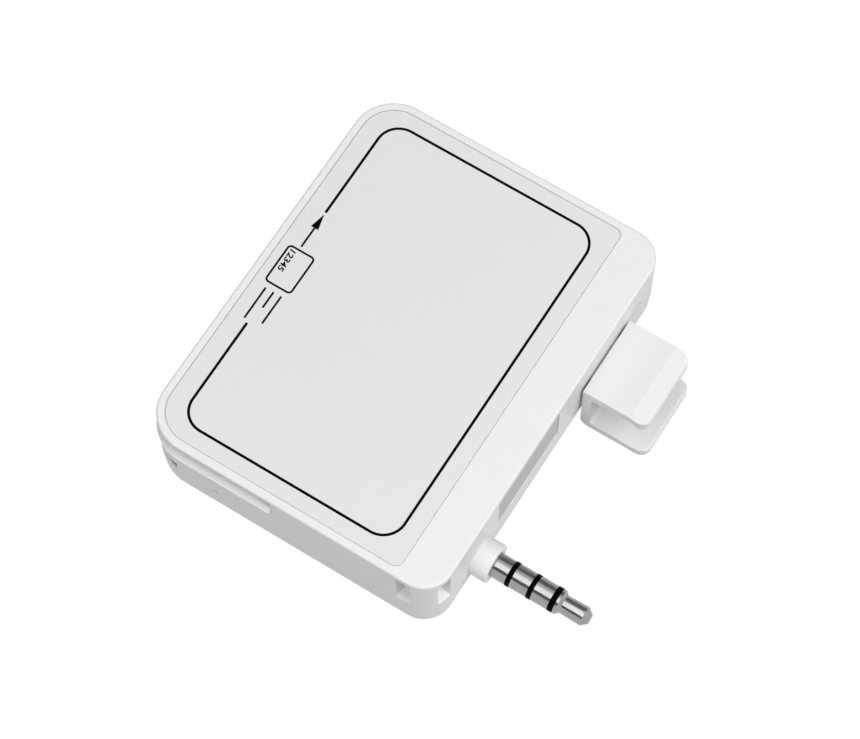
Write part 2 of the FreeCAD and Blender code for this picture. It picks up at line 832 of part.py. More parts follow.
def strap_tunnel():
    """The way for a strap: a bent tunnel behind the post and its two mouths with sloped sills."""
    low, high = dim.strap_bottom, STRAP_HEIGHT
    centre = (CORNER_X, CORNER_Y)
    first, angle, fall = dim.strap_near_start, dim.strap_opening_angle, dim.strap_sill_fall
    inside, outside = dim.strap_outer_radius - dim.running_gap, dim.plug_side_radius + PAST
    outer = sector("strap_ring_outer", dim.strap_outer_radius, low, high, centre, first,
                   dim.strap_side_start + angle - first)
    inner = rod("strap_ring_inner", dim.strap_inner_radius, high, centre + (low,))
    ways = [cut("strap_ring", outer, inner)]
    for side, start in (("near", first), ("side", dim.strap_side_start)):
        mouth = sector("strap_mouth_%s_blank" % side, outside, low - fall, high + fall, centre, start, angle)
        core = rod("strap_mouth_%s_core" % side, inside, high + fall, centre + (low - fall,))
        sill = cone("strap_mouth_%s_sill" % side, outside, inside, fall, centre + (low - fall,))
        ways.append(cut("strap_mouth_%s" % side, mouth, core, sill))
    return ways


def window_band(name, inset, depth, z_span, margin=0.0):
    """A band that follows the near-left corner at a distance inside the outline."""
    inset = Size.of(inset)
    ring = cut(name + "_ring", inset_block(name + "_outer", inset, z_span),
               inset_block(name + "_inner", inset + depth, (0.0, TOP)))
    corner = block(name + "_corner", (-LONG, LEFT + dim.corner_radius - dim.window_from_corner + margin),
                   (-LONG, NEAR + dim.corner_radius + dim.window_along_side + margin), z_span)
    return common(name, ring, corner)


def plug_holes(name):
    """The hole for the plug's collar, with room for its flange inside the wall."""
    centre = (PLUG_Y, dim.plug_height)
    start = PLUG_SEAT - dim.seam_gap
    return [rod(name + "_collar_hole", dim.collar_radius + dim.running_gap, RIGHT + PAST - start,
                (start,) + centre, "x"),
            rod(name + "_flange_room", dim.collar_flange_radius + dim.running_gap, INNER_RIGHT - start,
                (start,) + centre, "x")]


def slot_lead_in():
    """What the rounding under the roof's edge takes off, so that a card finds the slot."""
    radius = dim.slot_lead_in
    roof = inset_block("lead_in_roof", 0.0, (SLOT_TOP - dim.running_gap, SLOT_TOP + radius))
    around = inset_block("lead_in_around", -PAST, (SLOT_TOP - dim.running_gap, SLOT_TOP + radius))
    round_edges(roof, "lead_in_round", radius, lies_level(SLOT_TOP - dim.running_gap))
    limit = block("lead_in_limit", (-LONG, SLOT_END), (-LONG, LONG), (SHELF_TOP, TOP))
    return common("slot_lead_in", cut("lead_in_ring", around, roof), limit)


def slot_openings():
    """The swipe slot, its rounded entry and the window in the shelf for the head."""
    gap = dim.head_window_gap
    half_x, half_y = dim.head_width / 2 + gap, dim.head_length / 2 + gap
    return [slot_lead_in(), block("swipe_slot", (-LONG, SLOT_END), (-LONG, LONG), (SHELF_TOP, SLOT_TOP)),
            block("head_window", (HEAD_X - half_x, HEAD_X + half_x), (-half_y, half_y),
                  (SHELF_UNDER - PAST, SLOT_TOP - dim.running_gap))]


def wall_openings():
    """What is cut in the side walls: label bed, clip slot, pinhole, ports and light window."""
    gap, running = dim.port_gap, dim.running_gap
    half_usb, half_knob = dim.usb_width / 2 + gap, dim.mode_knob_width / 2 + gap
    far_wall = (INNER_FAR - PAST / 2, FAR + PAST)
    return [
        block("label_recess", (RIGHT - dim.label_recess, RIGHT + PAST),
              (LABEL_NEAR, LABEL_NEAR + dim.label_length),
              (dim.label_bottom, TOP - dim.label_from_top)),
        block("clip_slot", (INNER_RIGHT - PAST / 2, RIGHT + PAST),
              (TONGUE_NEAR - dim.seam_gap, TONGUE_FAR + dim.clip_travel + dim.seam_gap),
              (dim.clip_slot_height, TONGUE_TOP + running)),
        rod("pinhole", dim.pinhole_radius, dim.wall_thickness + PAST,
            (PINHOLE_X, NEAR - PAST / 2, dim.pinhole_height), "y"),
        block("usb_opening", (USB_X - half_usb, USB_X + half_usb), far_wall,
              (dim.parting_height - PAST, BOARD_TOP + dim.usb_height + gap)),
        block("mode_opening", (MODE_X - half_knob, MODE_X + half_knob + dim.mode_travel),
              far_wall, (KNOB_LOW - gap, KNOB_HIGH + gap)),
        window_band("window_opening", -PAST, dim.wall_thickness + 1.5 * PAST,
                    (dim.window_bottom - running, dim.window_bottom + dim.window_height + running), running),
    ]


def pin_openings():
    """The screws' holes in the bosses and the antenna contacts' holes in the roof."""
    screw, contact = dim.screw_radius + dim.running_gap, dim.contact_radius + dim.contact_hole_gap
    holes = [rod("boss_hole_%d" % number, screw, dim.screw_length, (x, y, dim.boss_foot - PAST / 2))
             for number, (x, y, roof) in enumerate(SCREW_PLACES, start=1)]
    holes += [rod("contact_hole_%d" % number, contact, dim.roof_thickness + PAST,
                  (x, BOARD_NEAR + dim.contact_from_end, ROOF_UNDER - PAST / 2))
              for number, x in enumerate(CONTACT_X, start=1)]
    return holes


def upper_casing():
    solid = fuse("upper_solid", upper_shell(), swipe_lip(), strap_block(), *screw_bosses(), *head_guides())
    ways = slot_openings() + wall_openings() + pin_openings() + plug_holes("upper") + strap_tunnel()
    return node(cut("upper_casing", solid, *ways), "upper_casing")


def lower_shell():
    """The tray before its posts: rounded lower edges and a rounded floor."""
    body = new_body("lower_shell")
    inset = dim.lower_inset
    outline = rounded_outline(body, "lower_outline", 0.0, (LEFT + inset, RIGHT - inset),
                              (NEAR + inset, FAR - inset), casing_radii(inset))
    pad(body, outline, dim.parting_height)
    round_edges(body, "lower_fillet", dim.lower_round, lies_level(Size.of(0.0)))
    inset = inset + dim.wall_thickness
    pocket(body, rounded_outline(body, "tray_hollow", dim.parting_height, (LEFT + inset, RIGHT - inset),
                                 (NEAR + inset, FAR - inset), casing_radii(inset)),
           dim.parting_height - dim.floor_thickness)
    round_edges(body, "floor_fillet", dim.floor_round, lies_level(dim.floor_thickness))
    return body


def locating_ribs():
    """Ribs that stand up inside the upper shell's walls and line the two shells up."""
    inset = dim.wall_thickness + dim.running_gap
    deep = inset + dim.rib_thickness
    far_end = RIGHT - dim.far_rib_from_right
    z_span = (dim.floor_thickness, dim.parting_height + dim.rib_rise)
    return [
        block("left_rib", (LEFT + inset, LEFT + deep), (-dim.left_rib_half, dim.left_rib_half), z_span),
        block("right_rib", (RIGHT - deep, RIGHT - inset), (-dim.right_rib_half, dim.right_rib_half), z_span),
        block("near_rib", (SLOT_END + dim.near_rib_past_slot, RIGHT - dim.near_rib_from_right),
              (NEAR + inset, NEAR + deep), z_span),
        block("far_rib", (far_end - dim.far_rib_length, far_end), (FAR - deep, FAR - inset), z_span),
    ]


def board_posts():
    """Short posts that the main board rests on."""
    inset = dim.board_post_inset
    left = BOARD_LEFT + inset
    places = [(left, dim.left_post_along), (left, -dim.left_post_along),
              (BOARD_INNER - inset, dim.middle_post_along),
              (NEAR_LEG_RIGHT - inset, BOARD_NEAR + inset),
              (FAR_LEG_RIGHT - inset, BOARD_FAR - inset),
              (BOARD_LEFT + dim.near_post_from_left, BOARD_NEAR + inset)]
    base = dim.floor_thickness - dim.running_gap
    return [rod("board_post_%d" % number, dim.board_post_radius, dim.board_height - base, (x, y, base))
            for number, (x, y) in enumerate(places, start=1)]


def lower_casing():
    pads = []
    holes = plug_holes("lower")
    for number, (x, y, roof) in enumerate(SCREW_PLACES, start=1):
        low = dim.floor_thickness / 2
        pads.append(rod("screw_pad_%d" % number, dim.screw_head_radius + dim.screw_pad_width,
                        dim.boss_foot - low, (x, y, low)))
        holes.append(rod("counterbore_%d" % number, dim.screw_head_radius + dim.seam_gap,
                         dim.screw_counterbore + PAST, (x, y, -PAST)))
        holes.append(rod("screw_way_%d" % number, dim.screw_radius + dim.running_gap, dim.boss_foot + PAST,
                         (x, y, -PAST / 2)))
    solid = fuse("lower_solid", lower_shell(), *pads, *locating_ribs(), *board_posts())
    return node(cut("lower_casing", solid, *holes), "lower_casing")


def casing_screws():
    """Four pan-head screws from below, each with a cross drive."""
    screws = []
    length, width = dim.screw_drive_length / 2, dim.screw_drive_width / 2
    bottom = dim.screw_counterbore - dim.screw_head_height
    for number, (x, y, roof) in enumerate(SCREW_PLACES, start=1):
        head = rod("screw_head_%d" % number, dim.screw_head_radius, dim.screw_head_height, (x, y, bottom))
        shank = rod("screw_shank_%d" % number, dim.screw_radius, dim.screw_length,
                    (x, y, bottom + dim.seam_gap))
        drives = [block("screw_drive_%s_%d" % (way, number), (x - half_x, x + half_x),
                        (y - half_y, y + half_y), (bottom - PAST, bottom + dim.screw_drive_depth))
                  for way, half_x, half_y in (("across", length, width), ("along", width, length))]
        screws.append(cut("screw_%d" % number, fuse("screw_blank_%d" % number, head, shank), *drives))
    return node(group("casing_screws", *screws), "casing_screws")


# Faceplate and antenna -------------------------------------------------------------------

def plate_slab(name, inset, z_span, small_radius):
    """A slab that follows the faceplate's outline at a distance inside it."""
    inset = Size.of(inset)
    large = dim.corner_radius - dim.rim_width - inset
    return rounded_block(name, (PLATE_LEFT + inset, PLATE_RIGHT - inset),
                         (PLATE_NEAR + inset, PLATE_FAR - inset), z_span,
                         [small_radius, small_radius, large, large])


def faceplate():
    gap = dim.seam_gap
    body = plate_slab("faceplate", gap, (PLATE_BOTTOM, TOP), dim.faceplate_small_radius - gap)
    round_edges(body, "faceplate_edge", gap, lies_level(TOP))
    return node(body, "faceplate")


def antenna_sheet():
    inset = dim.faceplate_ledge + dim.seam_gap
    return node(plate_slab("antenna_sheet", inset, (SHEET_BOTTOM, SHEET_TOP), dim.faceplate_small_radius),
                "antenna_sheet")


def antenna_coil():
    """Flat loops of track on the sheet."""
    loops = []
    z_span = (SHEET_TOP, PLATE_BOTTOM)
    radius = dim.antenna_small_radius
    for turn in range(int(dim.antenna_turns.value)):
        inset = dim.faceplate_ledge + dim.antenna_margin + turn * dim.antenna_track_pitch
        outer = plate_slab("track_outer_%d" % turn, inset, z_span, radius)
        inner = plate_slab("track_inner_%d" % turn, inset + dim.antenna_track_width, z_span, radius)
        loops.append(cut("track_%d" % turn, outer, inner))
    return node(group("antenna_coil", *loops), "antenna_coil")


def antenna_contacts():
    """Two sprung pins from the board up to the sheet: a barrel and a thinner plunger each."""
    pins = []
    for number, x in enumerate(CONTACT_X, start=1):
        start = (x, BOARD_NEAR + dim.contact_from_end, BOARD_TOP)
        height = SHEET_BOTTOM - BOARD_TOP
        barrel = rod("contact_barrel_%d" % number, dim.contact_radius, height - dim.contact_plunger_length,
                     start)
        plunger = rod("contact_plunger_%d" % number, dim.contact_plunger_radius, height, start)
        pins.append(fuse("contact_%d" % number, barrel, plunger))
    return node(group("antenna_contacts", *pins), "antenna_contacts")


# Magnetic head ---------------------------------------------------------------------------

def magnetic_head():
    """The head's can with its rounded crown standing a little above the shelf."""
    half_x, half_y, half_crown = dim.head_width / 2, dim.head_length / 2, dim.head_crown_length / 2
    x_span = (HEAD_X - half_x, HEAD_X + half_x)
    can_top = SHELF_TOP - dim.head_can_below_shelf
    crown_top = SHELF_TOP + dim.head_crown_rise
    radius = dim.head_crown_radius
    can = block("head_can", x_span, (-half_y, half_y), (CARRIAGE_TOP, can_top))
    barrel = rod("head_crown_barrel", radius, dim.head_width, (HEAD_X - half_x, 0.0, crown_top - radius), "x")
    limit = block("head_crown_limit", x_span, (-half_crown, half_crown), (CARRIAGE_TOP, crown_top + PAST))
    return node(fuse("magnetic_head", can, common("head_crown", barrel, limit)), "magnetic_head")


def head_carriage():
    """The plate under the head, with an arm to each guide."""
    z_span = (dim.carriage_height, CARRIAGE_TOP)
    arm, half_x, half_y = dim.carriage_arm_width / 2, dim.head_width / 2, dim.head_length / 2
    end = GUIDE_Y + dim.carriage_arm_end
    middle = rounded_block("carriage_middle", (HEAD_X - half_x, HEAD_X + half_x), (-half_y, half_y), z_span,
                           dim.carriage_corner)
    arms = rounded_block("carriage_arms", (HEAD_X - arm, HEAD_X + arm), (-end, end), z_span,
                         dim.carriage_corner)
    holes = [rod("carriage_hole_%s" % side, dim.guide_pin_radius + dim.running_gap,
                 dim.carriage_thickness + 2 * PAST, (HEAD_X, y, dim.carriage_height - PAST))
             for side, y in (("near", -GUIDE_Y), ("far", GUIDE_Y))]
    return node(cut("head_carriage", fuse("carriage_plate", middle, arms), *holes), "head_carriage")


def coil_spring(centre_x, centre_y, bottom, top):
    """A coil of round wire between two heights, bent in short straight steps."""
    wire, radius = dim.spring_wire.value / 2, dim.spring_radius.value
    low, high = bottom.value + wire, top.value - wire
    bends = dim.spring_bends_each_turn.value
    steps = int(bends * dim.spring_turns.value)
    points = []
    for step in range(steps + 1):
        angle = 2 * math.pi * step / bends
        points.append(FreeCAD.Vector(radius * math.cos(angle), radius * math.sin(angle),
                                     low + (high - low) * step / steps))
    section = Part.Wire(Part.Circle(points[0], points[1] - points[0], wire).toShape())
    coil = Part.makePolygon(points).makePipeShell([section], True, False, 1)
    coil.translate(FreeCAD.Vector(centre_x.value, centre_y, 0))
    return coil


def head_springs():
    """Two springs between the board and the carriage's arms, round the guide pins."""
    coils = [coil_spring(HEAD_X, y, BOARD_TOP, dim.carriage_height) for y in (-GUIDE_Y.value, GUIDE_Y.value)]
    return node(plain("head_springs", Part.Compound(coils)), "head_springs")


def head_ribbon():
    """A short folded strip from the carriage down to the board."""
    thickness = dim.ribbon_thickness
    left = HEAD_X + dim.ribbon_from_middle - dim.ribbon_width / 2
    across = (left, left + dim.ribbon_width)
    edge = dim.head_length / 2
    along = (edge - dim.ribbon_length, edge)
    middle = (BOARD_TOP + dim.carriage_height) / 2
    folds = [block("ribbon_fold_%d" % number, across, along, (low, low + thickness))
             for number, low in enumerate((BOARD_TOP, middle, dim.carriage_height - thickness))]
    back = block("ribbon_back", across, (edge - thickness, edge), (BOARD_TOP, dim.carriage_height))
    return node(fuse("head_ribbon", back, *folds), "head_ribbon")


# Main board and what stands on it ---------------------------------------------------------

def main_board():
    """The board, with a leg under the plug and another under the switch."""
    z_span = (dim.board_height, BOARD_TOP)
    inner, small, large = BOARD_INNER, dim.board_small_corner, dim.board_corner
    pieces = [
        rounded_block("board_middle", (BOARD_LEFT, inner), (BOARD_NEAR, BOARD_FAR), z_span,
                      [small, small, large, large]),
        rounded_block("board_near_leg", (inner - dim.board_leg_lap, NEAR_LEG_RIGHT),
                      (BOARD_NEAR, NEAR_LEG_TOP), z_span, small),
        rounded_block("board_far_leg", (inner - dim.board_leg_lap, FAR_LEG_RIGHT),
                      (BOARD_FAR - dim.far_leg_length, BOARD_FAR), z_span, small),
    ]
    hole = dim.boss_radius + dim.board_hole_gap
    holes = [rod("board_hole_%d" % number, hole, dim.board_thickness + 2 * PAST,
                 (x, y, dim.board_height - PAST))
             for number, (x, y, roof) in enumerate(SCREW_PLACES, start=1)]
    return node(cut("main_board", fuse("board_blank", *pieces), *holes), "main_board")


def on_board(name, centre, sizes):
    """A plain block standing on the board, from its centre and its three sizes."""
    (x, y), (width, length, height) = centre, sizes
    return block(name, (x - width / 2, x + width / 2), (y - length / 2, y + length / 2),
                 (BOARD_TOP, BOARD_TOP + height))


def sheet_values(name, *words):
    """The values of the sheet whose names begin with a piece's name."""
    return [getattr(dim, "%s_%s" % (name, word)) for word in words]


def board_place(name):
    """Where a piece stands: its values are from the slot's end and from the board's near edge."""
    across, along = sheet_values(name, "across", "along")
    return SLOT_END + across, BOARD_NEAR + along


def chips():
    """The chips and the crystal, each placed and sized by its own values."""
    for name in ("controller_chip", "radio_chip", "codec_chip", "clock_crystal"):
        node(on_board(name, board_place(name), sheet_values(name, "width", "length", "height")), name)


def radio_shield():
    """A sheet-metal can over the radio chip, open below."""
    centre = board_place("radio_chip")
    width, length, height = sheet_values("radio_shield", "width", "length", "height")
    sheet = dim.radio_shield_sheet
    can = on_board("shield_can", centre, (width, length, height))
    room = on_board("shield_room", centre, (width - 2 * sheet, length - 2 * sheet, height - sheet))
    return node(cut("radio_shield", can, room), "radio_shield")


def small_parts():
    """Rows of capacitors and resistors: each row by its first place, its pitch and its count."""
    sizes = sheet_values("capacitor", "width", "length", "height")
    capacitors = []
    for row, count in (("supply_capacitor", 6), ("chip_capacitor", 4)):
        (x, y), pitch = board_place(row), sheet_values(row, "pitch")[0]
        capacitors += [on_board("%s_%d" % (row, i), (x, y + i * pitch), sizes) for i in range(count)]
    node(group("capacitors", *capacitors), "capacitors")
    length, width, height = sheet_values("resistor", "length", "width", "height")
    (x, y), pitch = board_place("middle_resistor"), dim.middle_resistor_pitch
    resistors = [on_board("middle_resistor_%d" % i, (x, y + i * pitch), (length, width, height))
                 for i in range(6)]
    (x, y), pitch = board_place("leg_resistor"), dim.leg_resistor_pitch
    resistors += [on_board("leg_resistor_%d" % i, (x + i * pitch, y), (width, length, height))
                  for i in range(5)]
    node(group("resistors", *resistors), "resistors")


def buzzer():
    x, y = SLOT_END - dim.buzzer_from_slot_end, BOARD_FAR - dim.buzzer_from_far_edge
    top = BOARD_TOP + dim.buzzer_height
    shell = rod("buzzer_shell", dim.buzzer_radius, dim.buzzer_height, (x, y, BOARD_TOP))
    hole = rod("buzzer_hole", dim.buzzer_hole_radius, dim.buzzer_hole_depth + PAST,
               (x, y, top - dim.buzzer_hole_depth))
    return node(cut("buzzer", shell, hole), "buzzer")


def status_lights():
    """Four small lights behind the window at the near-left corner."""
    side, pitch, inset = dim.light_side, dim.light_pitch, dim.light_from_edge
    start = dim.board_corner
    left, near = BOARD_LEFT + inset, BOARD_NEAR + inset
    places = [(left, BOARD_NEAR + start + pitch), (left, BOARD_NEAR + start + 2 * pitch),
              (BOARD_LEFT + start + side / 2, near), (BOARD_LEFT + start + side / 2 + pitch, near)]
    lights = [on_board("status_light_%d" % number, place, (side, side, side))
              for number, place in enumerate(places, start=1)]
    return node(group("status_lights", *lights), "status_lights")


def light_window():
    """The smoked window round the near-left corner, with a flange inside the wall."""
    low, flange = dim.window_bottom, dim.window_flange
    high = low + dim.window_height
    face = window_band("window_face", dim.window_recess, dim.wall_thickness, (low, high))
    back = window_band("window_back", dim.wall_thickness + dim.running_gap, dim.window_flange_thickness,
                       (low - flange, high + flange), flange)
    return node(fuse("light_window", face, back), "light_window")


def usb_section(inset):
    """The socket's section at a distance inside its outside: a bar with its lower corners cut."""
    low, high = BOARD_TOP + inset, BOARD_TOP + dim.usb_height - inset
    left, right = USB_X - dim.usb_width / 2 + inset, USB_X + dim.usb_width / 2 - inset
    step, chamfer = low + dim.usb_step, dim.usb_chamfer
    return [(left, high), (left, step), (left + chamfer, low), (right - chamfer, low), (right, step),
            (right, high)]


def usb_parts():
    """The hollow charging socket at the far wall and the tongue inside it."""
    wall = dim.usb_shell
    front = FAR - dim.usb_setback
    back = front - dim.usb_depth
    shell = prism("usb_shell_blank", "y", (back, front), usb_section(Size.of(0.0)))
    room = prism("usb_room", "y", (back + wall, front + PAST), usb_section(wall))
    node(cut("usb_socket", shell, room), "usb_socket")
    half_x, half_z = dim.usb_width / 2 - dim.usb_tongue_inset, dim.usb_tongue_thickness / 2
    middle = BOARD_TOP + dim.usb_height / 2 + dim.usb_tongue_lift
    tongue = block("usb_tongue", (USB_X - half_x, USB_X + half_x),
                   (back + wall, front - dim.usb_tongue_setback), (middle - half_z, middle + half_z))
    node(tongue, "usb_tongue")


def mode_switch_body():
    """The slide switch's body on the board, with a slot for the knob's stem."""
    across, travel, gap, step = MODE_X, dim.mode_travel, dim.port_gap, dim.mode_stem_step / 2
    side, stem = dim.mode_knob_width / 2 + dim.mode_body_margin, dim.mode_stem_width / 2 + gap
    blank = block("mode_body_blank", (across - side, across + side + travel),
                  (MODE_FACE - dim.mode_body_depth, MODE_FACE), (BOARD_TOP, KNOB_HIGH + gap))
    slot = block("mode_body_slot", (across - stem, across + stem + travel),
                 (MODE_FACE - dim.mode_stem_depth - gap, MODE_FACE + PAST),
                 (KNOB_LOW + step, KNOB_HIGH - step))
    return node(cut("mode_switch_body", blank, slot), "mode_switch_body")


def mode_switch_knob():
    """The knob that stands out of the far wall, with its stem inside the body."""
    across, half = MODE_X, dim.mode_knob_width / 2
    stem, step = dim.mode_stem_width / 2, dim.mode_stem_step
    head = block("mode_knob_head", (across - half, across + half),
                 (MODE_FACE + dim.running_gap, FAR + dim.mode_knob_reach), (KNOB_LOW, KNOB_HIGH))
    tail = block("mode_knob_tail", (across - stem, across + stem),
                 (MODE_FACE - dim.mode_stem_depth, MODE_FACE + PAST), (KNOB_LOW + step, KNOB_HIGH - step))
    return node(fuse("mode_switch_knob", head, tail), "mode_switch_knob")


def reset_switch():
    """A small push switch behind the pinhole: body on the board and its plunger."""
    across, height, gap = PINHOLE_X, dim.pinhole_height, dim.reset_gap
    half_x, half_z, half_body = dim.plunger_width / 2, dim.plunger_height / 2, dim.reset_body_width / 2
    face = BOARD_NEAR + dim.reset_body_from_edge
    end = face + dim.plunger_in
    blank = block("reset_body_blank", (across - half_body, across + half_body),
                  (face, face + dim.reset_body_length), (BOARD_TOP, height + dim.reset_body_above))
    room = block("reset_body_room", (across - half_x - gap, across + half_x + gap),
                 (face - PAST, end + dim.reset_travel + dim.plunger_spare),
                 (height - half_z - gap, height + half_z + gap))
    node(cut("reset_switch_body", blank, room), "reset_switch_body")
    node(block("reset_plunger", (across - half_x, across + half_x), (face - dim.plunger_out, end),
               (height - half_z, height + half_z)), "reset_plunger")


# Battery ---------------------------------------------------------------------------------

def battery():
    """The flat cell on its adhesive pad."""
    margin = dim.battery_pad_margin
    node(rounded_block("battery", (CELL_LEFT, CELL_RIGHT), (CELL_NEAR, CELL_FAR),
                       (CELL_BOTTOM, CELL_BOTTOM + dim.battery_thickness), dim.battery_corner), "battery")
    node(block("battery_pad", (CELL_LEFT + margin, CELL_RIGHT - margin),
               (CELL_NEAR + margin, CELL_FAR - margin), (dim.floor_thickness, CELL_BOTTOM)), "battery_pad")


def battery_wiring():
    """The cell's protection board, its two leads and their connector on the main board."""
    left, near, margin = CELL_LEFT, CELL_NEAR, dim.tab_board_margin
    low = CELL_BOTTOM + dim.tab_board_lift
    board = block("battery_tab_board", (left + margin, CELL_RIGHT - margin),
                  (near - dim.tab_board_thickness, near), (low, low + dim.tab_board_height))
    node(board, "battery_tab_board")
    side = dim.battery_plug_side
    right = BOARD_INNER - dim.battery_plug_gap
    middle = near - dim.tab_board_thickness / 2
    node(block("battery_connector", (right - side, right), (middle - side / 2, middle + side / 2),
               (BOARD_TOP, BOARD_TOP + dim.battery_plug_height)), "battery_connector")
    level = BOARD_TOP + dim.battery_lead_height
    leads = [rod("battery_lead_%d" % number, dim.battery_lead_radius, left + margin - right,
                 (right, middle + sign * dim.battery_lead_pitch / 2, level), "x")
             for number, sign in ((1, -1.0), (2, 1.0))]
    node(group("battery_leads", *leads), "battery_leads")


# Audio plug --------------------------------------------------------------------------------

def plug_collar():
    """The round collar that stands out of the wall, with a flange held inside it."""
    bore = dim.plug_shank_radius + dim.plug_fit_gap
    outside, flange = dim.collar_radius, dim.collar_flange_radius
    step = PLUG_SEAT + dim.collar_flange_thickness
    body = turned("plug_collar", [(PLUG_SEAT, bore), (PLUG_SEAT, flange), (step, flange), (step, outside),
                                  (COLLAR_FACE, outside), (COLLAR_FACE, bore)])

    def front_rim(edge):
        box = edge.BoundBox
        return box.XMin > COLLAR_FACE.value - 1e-3 and box.YLength > 2 * bore.value + 1e-3

    round_edges(body, "collar_front", dim.collar_round, front_rim)
    return node(body, "plug_collar")


def plug_tubes():
    """The sleeve, thicker inside the collar, and the two rings in front of it."""
    bore, outside, band = dim.plug_bore_radius, dim.plug_radius, dim.plug_band_width
    shank, end = dim.plug_shank_radius, BAND_STARTS[0]
    node(turned("plug_sleeve", [(PLUG_SEAT, bore), (PLUG_SEAT, shank), (COLLAR_FACE, shank),
                                (COLLAR_FACE, outside), (end, outside), (end, bore)]), "plug_sleeve")
    spans = {
        "plug_ring_inner": (BAND_STARTS[0] + band, BAND_STARTS[1]),
        "plug_ring_outer": (BAND_STARTS[1] + band, BAND_STARTS[2]),
    }
    for name, (start, end) in spans.items():
        node(turned(name, [(start, bore), (start, outside), (end, outside), (end, bore)]), name)


def plug_insulators():
    """The insulating tube round the rod, with a band between each two contacts."""
    inner, outer = dim.plug_rod_radius + dim.plug_fit_gap, dim.plug_bore_radius - dim.plug_fit_gap
    points = [(PLUG_SEAT, inner), (PLUG_SEAT, outer)]
    for start in BAND_STARTS:
        end = start + dim.plug_band_width
        points += [(start, outer), (start, dim.plug_radius), (end, dim.plug_radius), (end, outer)]
    points[-1] = (TIP_START, inner)
    return node(turned("plug_insulators", points), "plug_insulators")


def plug_tip():
    """The tip: a bead, a waist and a blunt head, on the rod that carries it back into the base."""
    shaft, outside, edge = dim.plug_rod_radius, dim.plug_radius, dim.tip_edge
    back = PLUG_SEAT - dim.plug_rod_seat
    bead = TIP_START + dim.tip_bead
    points = [(back, 0.0), (back, shaft), (TIP_START, shaft), (TIP_START, outside - edge),
              (TIP_START + edge, outside), (bead, outside), (bead + dim.tip_fall, dim.tip_waist_radius),
              (TIP_END - dim.tip_cone, dim.tip_head_radius), (TIP_END, dim.tip_end_radius), (TIP_END, 0.0)]
    return node(turned("plug_tip", points), "plug_tip")


def plug_base():
    """The moulded block behind the wall that holds the plug."""
    half_y, half_z = dim.plug_base_width / 2, dim.plug_base_height / 2
    y, z = PLUG_Y, dim.plug_height
    blank = rounded_block("plug_base_blank", (BASE_LEFT, PLUG_SEAT), (y - half_y, y + half_y),
                          (z - half_z, z + half_z), dim.plug_base_corner)
    bore = rod("plug_base_bore", dim.plug_rod_radius, dim.plug_rod_seat,
               (PLUG_SEAT - dim.plug_rod_seat, y, z), "x")
    return node(cut("plug_base", blank, bore), "plug_base")


def plug_terminals():
    """Four tabs from the plug's base onto the board, one for each contact."""
    half, pitch, thickness = dim.terminal_width / 2, dim.terminal_pitch, dim.terminal_thickness
    tabs = []
    for number in range(4):
        y = PLUG_Y + (number - 1.5) * pitch
        tabs.append(block("terminal_%d" % number, (BASE_LEFT - dim.terminal_length, BASE_LEFT),
                          (y - half, y + half), (BOARD_TOP, BOARD_TOP + thickness)))
    return node(group("plug_terminals", *tabs), "plug_terminals")


# Phone clip ----------------------------------------------------------------------------------

def corner_waste(name, x, y, inward, z_span):
    """What rounding one plan corner of a jaw takes off; inward is the sign along Y into the jaw."""
    radius = dim.clip_corner
    middle = y + inward * radius
    y_span = (y - PAST, middle) if inward > 0 else (middle, y + PAST)
    low, high = Size.of(z_span[0]), Size.of(z_span[1])
    return cut("corner_waste_" + name, block("corner_square_" + name, (x - radius, x + PAST), y_span, z_span),
               rod("corner_core_" + name, radius, high - low, (x - radius, middle, low)))


def clip_jaws():
    """The C-shaped section: the upper jaw slopes to a nose that turns down, the lower one is flat."""
    left, wall, top, bottom = CLIP_LEFT, dim.clip_thickness, dim.clip_top, dim.clip_bottom
    web, slope = left + wall, left + dim.clip_flat
    nose, end = left + dim.clip_top_reach, left + dim.clip_bottom_reach
    nose_top, nose_low = top - dim.clip_slope_fall, top - dim.clip_nose_drop
    hook = nose - dim.clip_nose_length
    body = prism("clip_jaws", "y", (CLIP_NEAR, CLIP_FAR),
                 [(left, top), (slope, top), (nose, nose_top), (nose, nose_low), (hook, nose_low),
                  (hook - dim.clip_nose_slope, top - wall), (web, top - wall), (web, bottom + wall),
                  (end, bottom + wall), (end, bottom), (left, bottom)])
    rounds = {
        "clip_nose": (dim.clip_nose_round, [(nose, nose_top), (nose, nose_low)]),
        "clip_slope": (dim.clip_slope_round, [(slope, top)]),
        "clip_heel": (dim.clip_heel_round, [(left, bottom)]),
        "clip_inside": (dim.clip_inner_round, [(web, top - wall), (web, bottom + wall)]),
        "clip_end": (dim.clip_end_round, [(end, bottom + wall), (end, bottom)]),
    }
    for name, (radius, places) in rounds.items():
        round_edges(body, name, radius, lies_along_y(*places))
    middle = (top + bottom) / 2
    waste = []
    for jaw, x, z_span in (("upper", nose, (middle, top + PAST)), ("lower", end, (bottom - PAST, middle))):
        waste.append(corner_waste(jaw + "_near", x, CLIP_NEAR, 1.0, z_span))
        waste.append(corner_waste(jaw + "_far", x, CLIP_FAR, -1.0, z_span))
    return cut("clip_trimmed", body, *waste)


def phone_clip():
    """The sliding clip that grips the phone: its jaws and the tongue that runs in the wall's slot."""
    x_span = (RETAINER_RIGHT - dim.clip_retainer_thickness, CLIP_LEFT + dim.clip_thickness / 2)
    tongue = block("clip_tongue", x_span, (TONGUE_NEAR, TONGUE_FAR), (TONGUE_BOTTOM, TONGUE_TOP))
    return node(fuse("phone_clip", clip_jaws(), tongue), "phone_clip")


